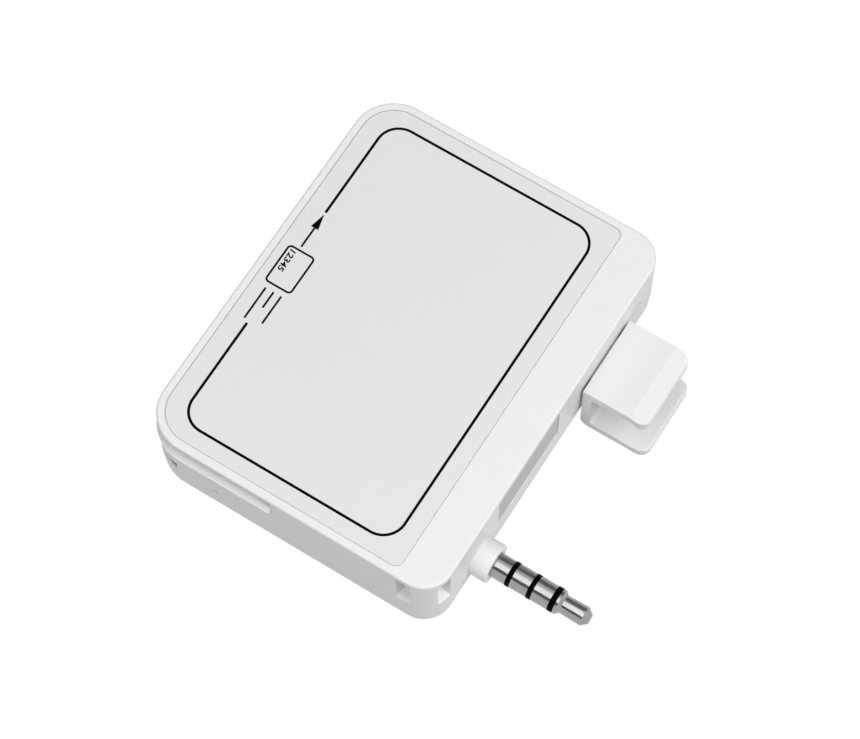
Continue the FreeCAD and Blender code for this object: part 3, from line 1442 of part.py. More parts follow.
def clip_retainer():
    """The block inside the wall that keeps the clip's tongue in its slot."""
    left = RETAINER_RIGHT - dim.clip_retainer_thickness
    middle = (TONGUE_BOTTOM + TONGUE_TOP) / 2
    half, lap = dim.clip_retainer_height / 2, dim.clip_retainer_lap
    blank = block("retainer_blank", (left, RETAINER_RIGHT), (TONGUE_NEAR - lap, TONGUE_FAR + lap),
                  (middle - half, middle + half))
    room = block("retainer_room", (left - PAST, RETAINER_RIGHT + PAST), (TONGUE_NEAR, TONGUE_FAR),
                 (TONGUE_BOTTOM, TONGUE_TOP))
    return node(cut("clip_retainer", blank, room), "clip_retainer")


def rating_label():
    """A bare label in its recess on the plug side."""
    face, gap = RIGHT - dim.label_recess, dim.seam_gap
    low, near = dim.label_bottom, LABEL_NEAR
    label = block("rating_label", (face, face + dim.label_thickness),
                  (near + gap, near + dim.label_length - gap), (low + gap, TOP - dim.label_from_top - gap))
    return node(label, "rating_label")


# Build -----------------------------------------------------------------------------------------

for make in (upper_casing, lower_casing, casing_screws, faceplate, antenna_sheet, antenna_coil,
             antenna_contacts, magnetic_head, head_carriage, head_springs, head_ribbon, main_board, chips,
             radio_shield, small_parts, buzzer, status_lights, light_window, usb_parts, mode_switch_body,
             mode_switch_knob, reset_switch, battery, battery_wiring, plug_base, plug_terminals, plug_collar,
             plug_tubes, plug_insulators, plug_tip, phone_clip, clip_retainer, rating_label):
    make()

doc.recompute()
for thing in doc.Objects:
    if "Invalid" in thing.State or "Error" in thing.State:
        raise RuntimeError("%s: %s" % (thing.Name, thing.State))

os.makedirs("parts", exist_ok=True)
for piece in nodes:
    shape = piece.Shape
    if shape.isNull() or not shape.isValid() or not shape.Solids:
        raise RuntimeError("%s has no good solid" % piece.Label)
    shape.exportStep("parts/%s.step" % piece.Label)
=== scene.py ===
import json
import logging
import math
from abc import ABC, abstractmethod
from dataclasses import dataclass
from enum import Enum
from typing import Callable, ClassVar, Mapping, Sequence

import bpy
from mathutils import Matrix, Vector


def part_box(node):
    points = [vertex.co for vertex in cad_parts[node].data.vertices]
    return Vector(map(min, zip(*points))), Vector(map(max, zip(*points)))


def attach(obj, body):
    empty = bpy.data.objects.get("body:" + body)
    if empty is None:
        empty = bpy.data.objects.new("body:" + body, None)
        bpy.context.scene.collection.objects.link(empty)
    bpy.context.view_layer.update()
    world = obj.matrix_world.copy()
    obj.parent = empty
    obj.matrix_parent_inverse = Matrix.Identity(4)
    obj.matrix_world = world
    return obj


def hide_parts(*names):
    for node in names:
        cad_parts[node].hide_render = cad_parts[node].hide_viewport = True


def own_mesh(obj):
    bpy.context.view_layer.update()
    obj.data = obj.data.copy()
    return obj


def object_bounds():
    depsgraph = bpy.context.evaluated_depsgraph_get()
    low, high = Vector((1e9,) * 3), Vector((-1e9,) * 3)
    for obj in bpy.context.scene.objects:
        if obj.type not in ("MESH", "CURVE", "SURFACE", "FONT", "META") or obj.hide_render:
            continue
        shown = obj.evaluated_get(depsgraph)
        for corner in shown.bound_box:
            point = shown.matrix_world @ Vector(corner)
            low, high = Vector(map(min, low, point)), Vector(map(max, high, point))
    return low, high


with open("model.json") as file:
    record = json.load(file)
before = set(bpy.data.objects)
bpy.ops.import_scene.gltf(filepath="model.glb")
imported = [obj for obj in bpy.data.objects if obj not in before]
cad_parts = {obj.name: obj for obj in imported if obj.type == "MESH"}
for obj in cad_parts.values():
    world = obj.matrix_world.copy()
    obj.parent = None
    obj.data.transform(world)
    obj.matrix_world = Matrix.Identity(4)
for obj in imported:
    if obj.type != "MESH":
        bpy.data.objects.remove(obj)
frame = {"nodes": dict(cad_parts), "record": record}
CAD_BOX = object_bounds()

LOG = logging.getLogger("card_reader")
MM = 0.001
SMOOTH_ANGLE = 35.0
MERGE_REACH = 0.000001
Colour = tuple[float, float, float]
Point = tuple[float, float, float]


# Shader nodes as expressions -----------------------------------------------------------------

class Wire:
    """An output socket that adds Math nodes when it is used in an expression."""

    def __init__(self, graph: "Graph", socket: bpy.types.NodeSocket) -> None:
        """Keeps the socket and the graph it belongs to."""
        self.graph = graph
        self.socket = socket

    def math(self, operation: str, first: object, second: object = 0.0) -> "Wire":
        """Adds one Math node.

        Args:
            operation: the node's operation.
            first: value or wire of its first input.
            second: value or wire of its second input.

        Returns:
            The node's output.
        """
        return self.graph.add("ShaderNodeMath", {"operation": operation}, {0: first, 1: second})

    def __add__(self, other: object) -> "Wire":
        """Sum."""
        return self.math("ADD", self, other)

    __radd__ = __add__

    def __sub__(self, other: object) -> "Wire":
        """Difference."""
        return self.math("SUBTRACT", self, other)

    def __rsub__(self, other: object) -> "Wire":
        """Difference with the wire on the right."""
        return self.math("SUBTRACT", other, self)

    def __mul__(self, other: object) -> "Wire":
        """Product."""
        return self.math("MULTIPLY", self, other)

    __rmul__ = __mul__

    def __gt__(self, other: object) -> "Wire":
        """1 where the wire is larger, else 0."""
        return self.math("GREATER_THAN", self, other)

    def over(self, low: float, high: float) -> "Wire":
        """Smooth step.

        Args:
            low: where the result is 0.
            high: where the result is 1.

        Returns:
            A value that climbs smoothly from 0 to 1.
        """
        return self.graph.add("ShaderNodeMapRange", {"interpolation_type": "SMOOTHSTEP"},
                              {"Value": self, "From Min": low, "From Max": high})

    def largest(self, other: object) -> "Wire":
        """The larger of two values."""
        return self.math("MAXIMUM", self, other)


class Graph:
    """The nodes of one material or world."""

    def __init__(self, tree: bpy.types.NodeTree) -> None:
        """Empties the tree and keeps it."""
        self.tree = tree
        self.tree.nodes.clear()

    def add(self, kind: str, settings: Mapping[str, object] | None = None,
            sockets: Mapping[int | str, object] | None = None, output: int | str = 0) -> Wire:
        """Adds any node.

        Args:
            kind: the node's type.
            settings: its properties, set before its sockets; stops are a colour ramp's.
            sockets: values or wires of its inputs.
            output: which output to hand back.

        Returns:
            The wire of that output.
        """
        node = self.tree.nodes.new(kind)
        for name, value in (settings or {}).items():
            if name == "stops":
                self.set_stops(node.color_ramp, value)
            else:
                setattr(node, name, value)
        for name, value in (sockets or {}).items():
            self.join(node.inputs[name], value)
        return Wire(self, node.outputs[output])

    def join(self, socket: bpy.types.NodeSocket, value: object) -> None:
        """Links a wire to an input, or sets the input's own value.

        Args:
            socket: the input.
            value: a wire, a number or a tuple.
        """
        if isinstance(value, Wire):
            self.tree.links.new(value.socket, socket)
        elif isinstance(value, tuple) and len(value) == 3 and socket.type == "RGBA":
            socket.default_value = (*value, 1.0)
        else:
            socket.default_value = value

    @staticmethod
    def set_stops(ramp: bpy.types.ColorRamp, stops: Sequence[tuple[float, Colour]]) -> None:
        """Gives a ramp its stops.

        Args:
            ramp: the colour ramp.
            stops: places and colours.
        """
        while len(ramp.elements) < len(stops):
            ramp.elements.new(1.0)
        for element, (place, colour) in zip(ramp.elements, stops):
            element.position = place
            element.color = (*colour, 1.0)

    def place(self, stretch: Point = (1.0, 1.0, 1.0)) -> Wire:
        """Where a point of the piece is, in millimetres.

        Args:
            stretch: factors along X, Y and Z.

        Returns:
            The stretched vector.
        """
        where = self.add("ShaderNodeTexCoord", output="Object")
        factors = tuple(factor / MM for factor in stretch)
        return self.add("ShaderNodeVectorMath", {"operation": "MULTIPLY"}, {0: where, 1: factors})

    def along(self, axis: str) -> Wire:
        """A point's place along one axis, in millimetres.

        Args:
            axis: X, Y or Z.

        Returns:
            The distance from the origin.
        """
        return self.add("ShaderNodeSeparateXYZ", None, {0: self.place()}, axis)

    def noise(self, size: float, detail: float = 2.0, stretch: Point = (1.0, 1.0, 1.0)) -> Wire:
        """Soft noise.

        Args:
            size: about how large its spots are, in millimetres.
            detail: how many finer layers it has.
            stretch: factors along X, Y and Z.

        Returns:
            A value round 0.5.
        """
        return self.add("ShaderNodeTexNoise", None,
                        {"Vector": self.place(stretch), "Scale": 1.0 / size, "Detail": detail}, 0)

    def cells(self, size: float, feature: str = "F1", stretch: Point = (1.0, 1.0, 1.0)) -> Wire:
        """Distances in a pattern of cells.

        Args:
            size: about how large a cell is, in millimetres.
            feature: which distance is measured.
            stretch: factors along X, Y and Z.

        Returns:
            The distance.
        """
        return self.add("ShaderNodeTexVoronoi", {"feature": feature},
                        {"Vector": self.place(stretch), "Scale": 1.0 / size}, "Distance")

    def blend(self, mask: object, first: object, second: object) -> Wire:
        """Mixes two colours.

        Args:
            mask: 0 for the first, 1 for the second.
            first: colour or wire.
            second: colour or wire.

        Returns:
            The mixed colour.
        """
        return self.add("ShaderNodeMix", {"data_type": "RGBA"}, {0: mask, 6: first, 7: second}, 2)

    def bump(self, height: Wire, depth: float, under: Wire | None = None) -> Wire:
        """Relief.

        Args:
            height: 0 to 1.
            depth: how high 1 stands, in millimetres.
            under: a relief that this one lies on.

        Returns:
            The normal.
        """
        sockets: dict[int | str, object] = {"Height": height, "Distance": depth * MM, "Strength": 1.0}
        if under is not None:
            sockets["Normal"] = under
        return self.add("ShaderNodeBump", None, sockets)


def darker(colour: Colour, factor: float) -> Colour:
    """A colour times a factor, kept at or below 1."""
    return tuple(min(1.0, part * factor) for part in colour)


# Finishes -------------------------------------------------------------------------------------

@dataclass(frozen=True)
class Finish(ABC):
    """A surface finish that makes its own material."""

    name: str
    colour: Colour = (0.8, 0.8, 0.8)
    roughness: float = 0.4

    def material(self) -> bpy.types.Material:
        """The finish's material, made once."""
        made = bpy.data.materials.get(self.name)
        if made is None:
            made = bpy.data.materials.new(self.name)
            made.use_nodes = True
            graph = Graph(made.node_tree)
            shader = graph.add("ShaderNodeBsdfPrincipled", None, self.surface(graph), "BSDF")
            output = made.node_tree.nodes.new("ShaderNodeOutputMaterial")
            graph.join(output.inputs["Surface"], shader)
            made.diffuse_color = (*self.colour, 1.0)
        return made

    @abstractmethod
    def surface(self, graph: Graph) -> dict[int | str, object]:
        """The shader's inputs.

        Args:
            graph: where the nodes go.

        Returns:
            Values and wires by the name of the shader's input.
        """


@dataclass(frozen=True)
class Moulded(Finish):
    """Injection-moulded plastic with a fine eroded grain and faint flow clouds."""

    grain: float = 0.22
    depth: float = 0.004
    mottle: float = 0.015
    speck: float = 0.03
    gloss: float = 0.35

    def surface(self, graph: Graph) -> dict[int | str, object]:
        """Flow clouds and specks in the colour, grain in the relief and the gloss."""
        cloud = graph.noise(7.0, 3.0)
        fine = graph.noise(self.grain, 2.0)
        speck = graph.noise(self.grain * 1.7, 1.0).over(0.6, 0.74)
        base = graph.blend(cloud, darker(self.colour, 1 - self.mottle), darker(self.colour, 1 + self.mottle))
        return {
            "Base Color": graph.blend(speck * self.speck * 4.0, base, darker(self.colour, 0.75)),
            "Roughness": (fine - 0.5) * 0.12 + self.roughness,
            "Normal": graph.bump(fine, self.depth),
            "IOR": 1.5,
            "Specular IOR Level": self.gloss,
        }


@dataclass(frozen=True)
class GlossSheet(Finish):
    """A clear-faced printed sheet, lacquered smooth, with a slight orange-peel."""

    coat: float = 0.4

    def surface(self, graph: Graph) -> dict[int | str, object]:
        """A faint cloud below a lacquer whose surface rolls a little."""
        cloud = graph.noise(16.0, 2.0)
        fibre = graph.noise(0.5, 3.0)
        roll = graph.noise(2.6, 1.0)
        smear = graph.noise(9.0, 4.0, (1.0, 0.5, 1.0)).over(0.45, 0.75)
        base = graph.blend(cloud, darker(self.colour, 0.985), darker(self.colour, 1.012))
        return {
            "Base Color": graph.blend(fibre * 0.2, base, darker(self.colour, 0.97)),
            "Roughness": smear * 0.05 + self.roughness,
            "Coat Weight": smear * -0.12 + self.coat,
            "Coat Roughness": 0.06,
            "Normal": graph.bump(roll, 0.0012),
            "IOR": 1.46,
        }


@dataclass(frozen=True)
class PrintInk(Finish):
    """Screen-printed ink, slightly uneven where the mesh laid it down."""

    def surface(self, graph: Graph) -> dict[int | str, object]:
        """Small thin spots in the ink and a slight tooth."""
        patch = graph.noise(0.35, 3.0)
        tooth = graph.noise(0.06, 1.0)
        return {
            "Base Color": graph.blend(patch.over(0.4, 0.85), self.colour, darker(self.colour, 2.2)),
            "Roughness": patch * 0.12 + self.roughness,
            "Normal": graph.bump(tooth, 0.0008),
            "Specular IOR Level": 0.02,
        }


@dataclass(frozen=True)
class TurnedMetal(Finish):
    """Plated metal turned on a lathe round the X axis, with tool rings and light scuffs."""

    pitch: float = 0.11
    depth: float = 0.0012
    scuff: float = 0.18

    def surface(self, graph: Graph) -> dict[int | str, object]:
        """Rings along X, and rub marks that run lengthwise."""
        rings = graph.noise(self.pitch, 2.0, (1.0, 0.02, 0.02))
        rubs = graph.noise(0.16, 3.0, (0.12, 1.0, 1.0)).over(0.45, 0.72)
        cloud = graph.noise(1.4, 2.0)
        tone = graph.blend(cloud, darker(self.colour, 0.86), darker(self.colour, 1.12))
        return {
            "Base Color": graph.blend(rubs * self.scuff, tone, darker(self.colour, 1.5)),
            "Metallic": 1.0,
            "Roughness": rings * 0.10 + rubs * 0.08 + self.roughness,
            "Normal": graph.bump(rings, self.depth),
        }


@dataclass(frozen=True)
class RolledMetal(Finish):
    """Stamped or drawn sheet with the fine lines of its rolling."""

    lines: Point = (0.06, 1.0, 1.0)
    depth: float = 0.0015
    tarnish: float = 0.2

    def surface(self, graph: Graph) -> dict[int | str, object]:
        """Lines along the rolling direction and patches of dull surface."""
        line = graph.noise(0.07, 3.0, self.lines)
        patch = graph.noise(2.2, 3.0).over(0.4, 0.75)
        tone = graph.blend(line, darker(self.colour, 0.88), darker(self.colour, 1.1))
        return {
            "Base Color": graph.blend(patch * self.tarnish, tone, darker(self.colour, 0.6)),
            "Metallic": 1.0,
            "Roughness": line * 0.12 + patch * 0.1 + self.roughness,
            "Normal": graph.bump(line, self.depth),
        }


@dataclass(frozen=True)
class SmokedLens(Finish):
    """A smoked window with a polished face, with painted shade that leaves it darker towards its top, under
    the lip.
    """

    low: float = 0.0
    high: float = 1.0

    def surface(self, graph: Graph) -> dict[int | str, object]:
        """Painted shade that lightens the smoke towards the lower edge and leaves it darkest at the top, and
        faint swirls.
        """
        rise = graph.along("Z").over(self.low, self.high)
        swirl = graph.noise(1.1, 2.0)
        # Painted shade: the window is lightened towards its lower edge and left darkest at its top, under the
        # lip.
        shaded_tint = graph.blend(rise, darker(self.colour, 2.2), self.colour)
        return {
            "Base Color": graph.blend(swirl * 0.15, shaded_tint, darker(self.colour, 2.0)),
            "Roughness": swirl * 0.06 + self.roughness,
            "Specular IOR Level": 0.2,
            "Coat Weight": 0.08,
            "Coat Roughness": 0.05,
        }


@dataclass(frozen=True)
class LabelStock(Finish):
    """Bare grey label stock: a fibrous sheet with painted shade along its top, where the recess shades it."""

    high: float = 1.0

    def surface(self, graph: Graph) -> dict[int | str, object]:
        """Paper fibres, and painted shade along the upper edge."""
        fibre = graph.noise(0.16, 4.0, (1.0, 0.35, 1.0))
        cloud = graph.noise(2.4, 2.0)
        # Painted shade: darker towards the label's top edge, where the recess above shades it.
        edge = graph.along("Z").over(self.high - 0.35, self.high - 0.1)
        sheet = graph.blend(cloud, darker(self.colour, 0.94), darker(self.colour, 1.06))
        worn = graph.blend(fibre * 0.35, sheet, darker(self.colour, 0.8))
        return {
            "Base Color": graph.blend(edge * 0.6, worn, darker(self.colour, 0.35)),
            "Roughness": fibre * 0.12 + self.roughness,
            "Normal": graph.bump(fibre, 0.004),
        }


@dataclass(frozen=True)
class SolderMask(Finish):
    """Coated circuit board with raised tracks and small tinned points."""

    track: Colour = (0.12, 0.40, 0.22)
    tin: Colour = (0.62, 0.60, 0.54)

    def surface(self, graph: Graph) -> dict[int | str, object]:
        """Tracks between cells, points at some of their middles, and glass cloth below."""
        gap = graph.cells(2.1, "DISTANCE_TO_EDGE")
        track = 1 - gap.over(0.03, 0.06)
        point = 1 - graph.cells(1.5).over(0.12, 0.15)
        cloth = graph.noise(0.5, 1.0, (1.0, 0.2, 1.0)) * graph.noise(0.5, 1.0, (0.2, 1.0, 1.0))
        mask = graph.blend(cloth, self.colour, darker(self.colour, 1.35))
        laid = graph.blend(track, mask, self.track)
        return {
            "Base Color": graph.blend(point, laid, self.tin),
            "Metallic": point * 0.8,
            "Roughness": cloth * 0.15 + self.roughness,
            "Coat Weight": 0.5,
            "Coat Roughness": 0.15,
            "Normal": graph.bump(track.largest(point), 0.02),
        }


@dataclass(frozen=True)
class Package(Finish):
    """Epoxy chip body with a matt grain and a round mark in one corner."""

    mark: Point = (0.0, 0.0, 0.0)
    mark_radius: float = 0.35

    def surface(self, graph: Graph) -> dict[int | str, object]:
        """Grain in tone and relief, and the mark's shallow dish."""
        grain = graph.noise(0.09, 3.0)
        cloud = graph.noise(1.8, 2.0)
        distance = graph.add("ShaderNodeVectorMath", {"operation": "DISTANCE"},
                             {0: graph.place(), 1: self.mark}, "Value")
        dish = 1 - distance.over(self.mark_radius * 0.9, self.mark_radius * 1.1)
        tone = graph.blend(cloud, self.colour, darker(self.colour, 1.5))
        return {
            "Base Color": graph.blend(dish * 0.5, tone, darker(self.colour, 3.0)),
            "Roughness": grain * 0.15 + self.roughness - dish * 0.25,
            "Normal": graph.bump(grain - dish, 0.01),
        }


@dataclass(frozen=True)
class FiredCeramic(Finish):
    """Fired ceramic body with a slightly glassy, pitted skin."""

    def surface(self, graph: Graph) -> dict[int | str, object]:
        """Pits and a warm drift in tone."""
        pit = graph.cells(0.14).over(0.0, 0.35)
        drift = graph.noise(0.9, 2.0)
        tone = graph.blend(drift, darker(self.colour, 0.85), darker(self.colour, 1.15))
        return {
            "Base Color": graph.blend(1 - pit, tone, darker(self.colour, 0.6)),
            "Roughness": drift * 0.2 + self.roughness,
            "Normal": graph.bump(pit, 0.006),
        }


@dataclass(frozen=True)
class Pouch(Finish):
    """Aluminium-laminate cell wrap, crinkled, with pressed edges."""

    def surface(self, graph: Graph) -> dict[int | str, object]:
        """Crinkles of two sizes and a brushed tone."""
        large = graph.noise(3.2, 3.0)
        small = graph.cells(0.8, "SMOOTH_F1")
        brush = graph.noise(0.08, 2.0, (1.0, 0.05, 1.0))
        tone = graph.blend(brush, darker(self.colour, 0.9), darker(self.colour, 1.08))
        return {
            "Base Color": tone,
            "Metallic": 0.75,
            "Roughness": brush * 0.12 + large * 0.1 + self.roughness,
            "Normal": graph.bump(small, 0.02, graph.bump(large, 0.08)),
        }


@dataclass(frozen=True)
class Foam(Finish):
    """Closed-cell adhesive foam."""

    def surface(self, graph: Graph) -> dict[int | str, object]:
        """Open cells at the cut face."""
        cell = graph.cells(0.25).over(0.05, 0.5)
        return {
            "Base Color": graph.blend(cell, darker(self.colour, 0.4), darker(self.colour, 1.5)),
            "Roughness": cell * 0.1 + self.roughness,
            "Normal": graph.bump(cell, 0.04),
        }


@dataclass(frozen=True)
class WirePair(Finish):
    """Two insulated leads, one of each colour."""

    other: Colour = (0.03, 0.03, 0.03)
    split: float = -8.4

    def surface(self, graph: Graph) -> dict[int | str, object]:
        """One colour on each side of the line between the leads, with drawn lines."""
        side = graph.along("Y") > self.split
        draw = graph.noise(0.08, 2.0, (0.05, 1.0, 1.0))
        tone = graph.blend(side, self.other, self.colour)
        return {
            "Base Color": graph.blend(draw * 0.3, tone, (0.2, 0.18, 0.17)),
            "Roughness": draw * 0.15 + self.roughness,
            "Normal": graph.bump(draw, 0.003),
        }


@dataclass(frozen=True)
class AmberFilm(Finish):
    """Polyimide film with copper showing faintly through it."""

    def surface(self, graph: Graph) -> dict[int | str, object]:
        """Streaks of the cast film and a slow ripple."""
        streak = graph.noise(0.3, 3.0, (0.08, 1.0, 1.0))
        ripple = graph.noise(3.0, 1.0)
        return {
            "Base Color": graph.blend(streak, darker(self.colour, 0.8), darker(self.colour, 1.3)),
            "Roughness": streak * 0.1 + self.roughness,
            "Coat Weight": 0.5,
            "Coat Roughness": 0.08,
            "Normal": graph.bump(ripple, 0.01),
        }


@dataclass(frozen=True)
class LightLens(Finish):
    """Clear lens over a pale lamp, with a warm chip at its heart."""

    def surface(self, graph: Graph) -> dict[int | str, object]:
        """A soft speckle of phosphor below a clear face."""
        grain = graph.cells(0.12).over(0.0, 0.5)
        return {
            "Base Color": graph.blend(grain, (0.85, 0.72, 0.25), self.colour),
            "Roughness": grain * 0.08 + self.roughness,
            "Coat Weight": 0.9,
            "Coat Roughness": 0.03,
        }


CASE_TOP = Moulded("satin_white_upper", (0.84, 0.84, 0.84), 0.36)
CASE_LOW = Moulded("satin_white_lower", (0.83, 0.83, 0.83), 0.34)
CLIP_WHITE = Moulded("satin_white_clip", (0.80, 0.80, 0.80), 0.34, depth=0.002, speck=0.015)
COLLAR_WHITE = Moulded("satin_white_collar", (0.84, 0.84, 0.84), 0.32, depth=0.002, speck=0.015)
PLATE = GlossSheet("white_sheet", (0.765, 0.765, 0.768), 0.16)
INK = PrintInk("black_ink", (0.0015, 0.0015, 0.0016), 0.5)
NICKEL = TurnedMetal("nickel_plate", (0.34, 0.34, 0.343), 0.11, depth=0.0004, scuff=0.04)
BAND_BLACK = Moulded("band_black", (0.0015, 0.0015, 0.0015), 0.4, depth=0.002, mottle=0.2, gloss=0.02)
# Painted shade: the grey of the strip laid in the gap round the faceplate.
SEAM_SHADE_GREY = Moulded("seam_shade_grey", (0.46, 0.46, 0.46), 0.5, depth=0.002)


# Modelling bench --------------------------------------------------------------------------------

class Aim(Enum):
    """Which way the top of a piece modelled flat on the bench is to face."""

    UP = (0.0, 0.0, 0.0)
    PLUG_SIDE = (0.0, math.pi / 2, 0.0)


class Bench:
    """Modelling in millimetres with the usual mesh operators."""

    @staticmethod
    def clear() -> None:
        """Deselects everything, so that no operator touches another piece."""
        if bpy.context.mode != "OBJECT":
            bpy.ops.object.mode_set(mode="OBJECT")
        bpy.ops.object.select_all(action="DESELECT")

    @staticmethod
    def pick_faces(piece: bpy.types.Object, test: Callable[[bpy.types.MeshPolygon], bool]) -> int:
        """Selects faces by their place or normal, and stays in edit mode.

        Args:
            piece: the piece being edited.
            test: says whether a face is wanted.

        Returns:
            How many faces it selected.
        """
        bpy.ops.mesh.select_mode(type="FACE")
        bpy.ops.mesh.select_all(action="DESELECT")
        bpy.ops.object.mode_set(mode="OBJECT")
        wanted = [face for face in piece.data.polygons if test(face)]
        for face in wanted:
            face.select = True
        bpy.ops.object.mode_set(mode="EDIT")
        return len(wanted)

    @staticmethod
    def pick_corners(piece: bpy.types.Object, test: Callable[[Vector], bool]) -> int:
        """Selects vertices by their place, and stays in edit mode.

        Args:
            piece: the piece being edited.
            test: says whether a vertex is wanted.

        Returns:
            How many it selected.
        """
        bpy.ops.mesh.select_mode(type="VERT")
        bpy.ops.mesh.select_all(action="DESELECT")
        bpy.ops.object.mode_set(mode="OBJECT")
        wanted = [corner for corner in piece.data.vertices if test(corner.co)]
        for corner in wanted:
            corner.select = True
        bpy.ops.object.mode_set(mode="EDIT")
        return len(wanted)

    @staticmethod
    def plate(name: str, low: tuple[float, float], high: tuple[float, float]) -> bpy.types.Object:
        """Starts a flat piece from a plane of its own size.

        Args:
            name: the piece's name.
            low: its lowest X and Y.
            high: its highest X and Y.

        Returns:
            The piece, open for editing.
        """
        Bench.clear()
        bpy.ops.mesh.primitive_plane_add(size=1.0)
        piece = bpy.context.object
        piece.name = piece.data.name = name
        bpy.ops.object.mode_set(mode="EDIT")
        bpy.ops.mesh.select_all(action="SELECT")
        bpy.ops.transform.resize(value=(high[0] - low[0], high[1] - low[1], 1.0), center_override=(0, 0, 0))
        bpy.ops.transform.translate(value=((low[0] + high[0]) / 2, (low[1] + high[1]) / 2, 0.0))
        return piece

    @staticmethod
    def round_corners(radius: float, steps: int) -> None:
        """Rounds the selected corners of a flat piece.

        Args:
            radius: of the rounding.
            steps: how many edges each rounding gets.
        """
        bpy.ops.mesh.bevel(offset=radius, offset_type="OFFSET", affect="VERTICES", segments=steps,
                           clamp_overlap=True)

    @staticmethod
    def thicken(thickness: float) -> None:
        """Extrudes all the faces of a flat piece upwards and closes it.

        Args:
            thickness: how far.
        """
        bpy.ops.mesh.select_mode(type="FACE")
        bpy.ops.mesh.select_all(action="SELECT")
        bpy.ops.mesh.extrude_region_move(TRANSFORM_OT_translate={"value": (0.0, 0.0, thickness)})
        bpy.ops.mesh.select_mode(type="VERT")
        bpy.ops.mesh.select_all(action="DESELECT")
        bpy.ops.mesh.select_non_manifold()
        bpy.ops.mesh.fill_holes(sides=0)
        bpy.ops.mesh.select_all(action="SELECT")
        bpy.ops.mesh.normals_make_consistent(inside=False)

    @staticmethod
    def ring(name: str, low: tuple[float, float], high: tuple[float, float], radii: tuple[float, float],
             width: float, steps: int) -> bpy.types.Object:
        """A flat rounded frame, open for editing.

        Args:
            name: the piece's name.
            low: lowest corner of its middle line.
            high: highest corner of its middle line.
            radii: of its middle line, at its left and at its right corners.
            width: of the line.
            steps: edges in each corner.

        Returns:
            The piece.
        """
        half = width / 2
        middle = Vector(((low[0] + high[0]) / 2, (low[1] + high[1]) / 2))
        piece = Bench.plate(name, (low[0] - half, low[1] - half), (high[0] + half, high[1] + half))
        Bench.pick_corners(piece, lambda corner: corner.x < low[0])
        Bench.round_corners(radii[0] + half, steps)
        Bench.pick_corners(piece, lambda corner: corner.x > high[0])
        Bench.round_corners(radii[1] + half, steps)
        bpy.ops.mesh.select_mode(type="FACE")
        bpy.ops.mesh.select_all(action="SELECT")
        bpy.ops.mesh.inset(thickness=width, use_even_offset=True)
        Bench.pick_faces(piece, lambda face: (face.center.xy - middle).length < width)
        bpy.ops.mesh.delete(type="FACE")
        return piece

    @staticmethod
    def stroke(name: str, start: tuple[float, float], end: tuple[float, float], width: float,
               thickness: float) -> bpy.types.Object:
        """A straight printed line with rounded ends, along X or Y.

        Args:
            name: the piece's name.
            start: where its rounded end begins.
            end: where the other one stops.
            width: of the line.
            thickness: of the ink.

        Returns:
            The finished flat piece, still in millimetres.
        """
        half = width / 2
        upright = abs(end[1] - start[1]) > abs(end[0] - start[0])
        low = (min(start[0], end[0]) - half * upright, min(start[1], end[1]) - half * (not upright))
        high = (max(start[0], end[0]) + half * upright, max(start[1], end[1]) + half * (not upright))
        piece = Bench.plate(name, low, high)
        Bench.round_corners(half * 0.96, 5)
        Bench.thicken(thickness)
        bpy.ops.object.mode_set(mode="OBJECT")
        return piece

    @staticmethod
    def turned(name: str, profile: Sequence[tuple[float, float]], sides: int = 72,
               closed: bool = False) -> bpy.types.Object:
        """A round piece about the Z axis, made by extruding and scaling rings.

        Args:
            name: the piece's name.
            profile: height and radius of each ring, in millimetres.
            sides: how many edges a ring has.
            closed: True when the profile comes back to its first point.

        Returns:
            The piece, still in millimetres and upright.
        """
        Bench.clear()
        height, radius = profile[0]
        bpy.ops.mesh.primitive_circle_add(vertices=sides, radius=radius, fill_type="NOTHING",
                                          location=(0.0, 0.0, 0.0))
        piece = bpy.context.object
        piece.name = piece.data.name = name
        bpy.ops.object.mode_set(mode="EDIT")
        bpy.ops.mesh.select_mode(type="EDGE")
        bpy.ops.mesh.select_all(action="SELECT")
        bpy.ops.transform.translate(value=(0.0, 0.0, height))
        for next_height, next_radius in profile[1:]:
            bpy.ops.mesh.extrude_region_move(
                TRANSFORM_OT_translate={"value": (0.0, 0.0, next_height - height)})
            factor = next_radius / radius
            bpy.ops.transform.resize(value=(factor, factor, 1.0), center_override=(0.0, 0.0, next_height))
            height, radius = next_height, next_radius
        bpy.ops.mesh.select_mode(type="VERT")
        bpy.ops.mesh.select_all(action="SELECT")
        if closed:
            bpy.ops.mesh.remove_doubles(threshold=0.001)
        else:
            bpy.ops.mesh.select_non_manifold()
            bpy.ops.mesh.fill_holes(sides=0)
            bpy.ops.mesh.select_all(action="SELECT")
        bpy.ops.mesh.normals_make_consistent(inside=False)
        bpy.ops.object.mode_set(mode="OBJECT")
        return piece

    @staticmethod
    def place(piece: bpy.types.Object, where: Point, aim: Aim = Aim.UP, smooth: float = SMOOTH_ANGLE) -> None:
        """Turns a piece, puts it in place, scales it to metres and shades it.

        Args:
            piece: the piece, in millimetres at the origin.
            where: where the piece's origin goes, in millimetres.
            aim: which way its top faces.
            smooth: largest angle, in degrees, that is shaded smooth.
        """
        Bench.clear()
        bpy.context.view_layer.objects.active = piece
        piece.select_set(True)
        piece.rotation_euler = aim.value
        piece.location = tuple(part * MM for part in where)
        piece.scale = (MM, MM, MM)
        bpy.ops.object.transform_apply(location=True, rotation=True, scale=True)
        bpy.ops.object.shade_smooth_by_angle(angle=math.radians(smooth))

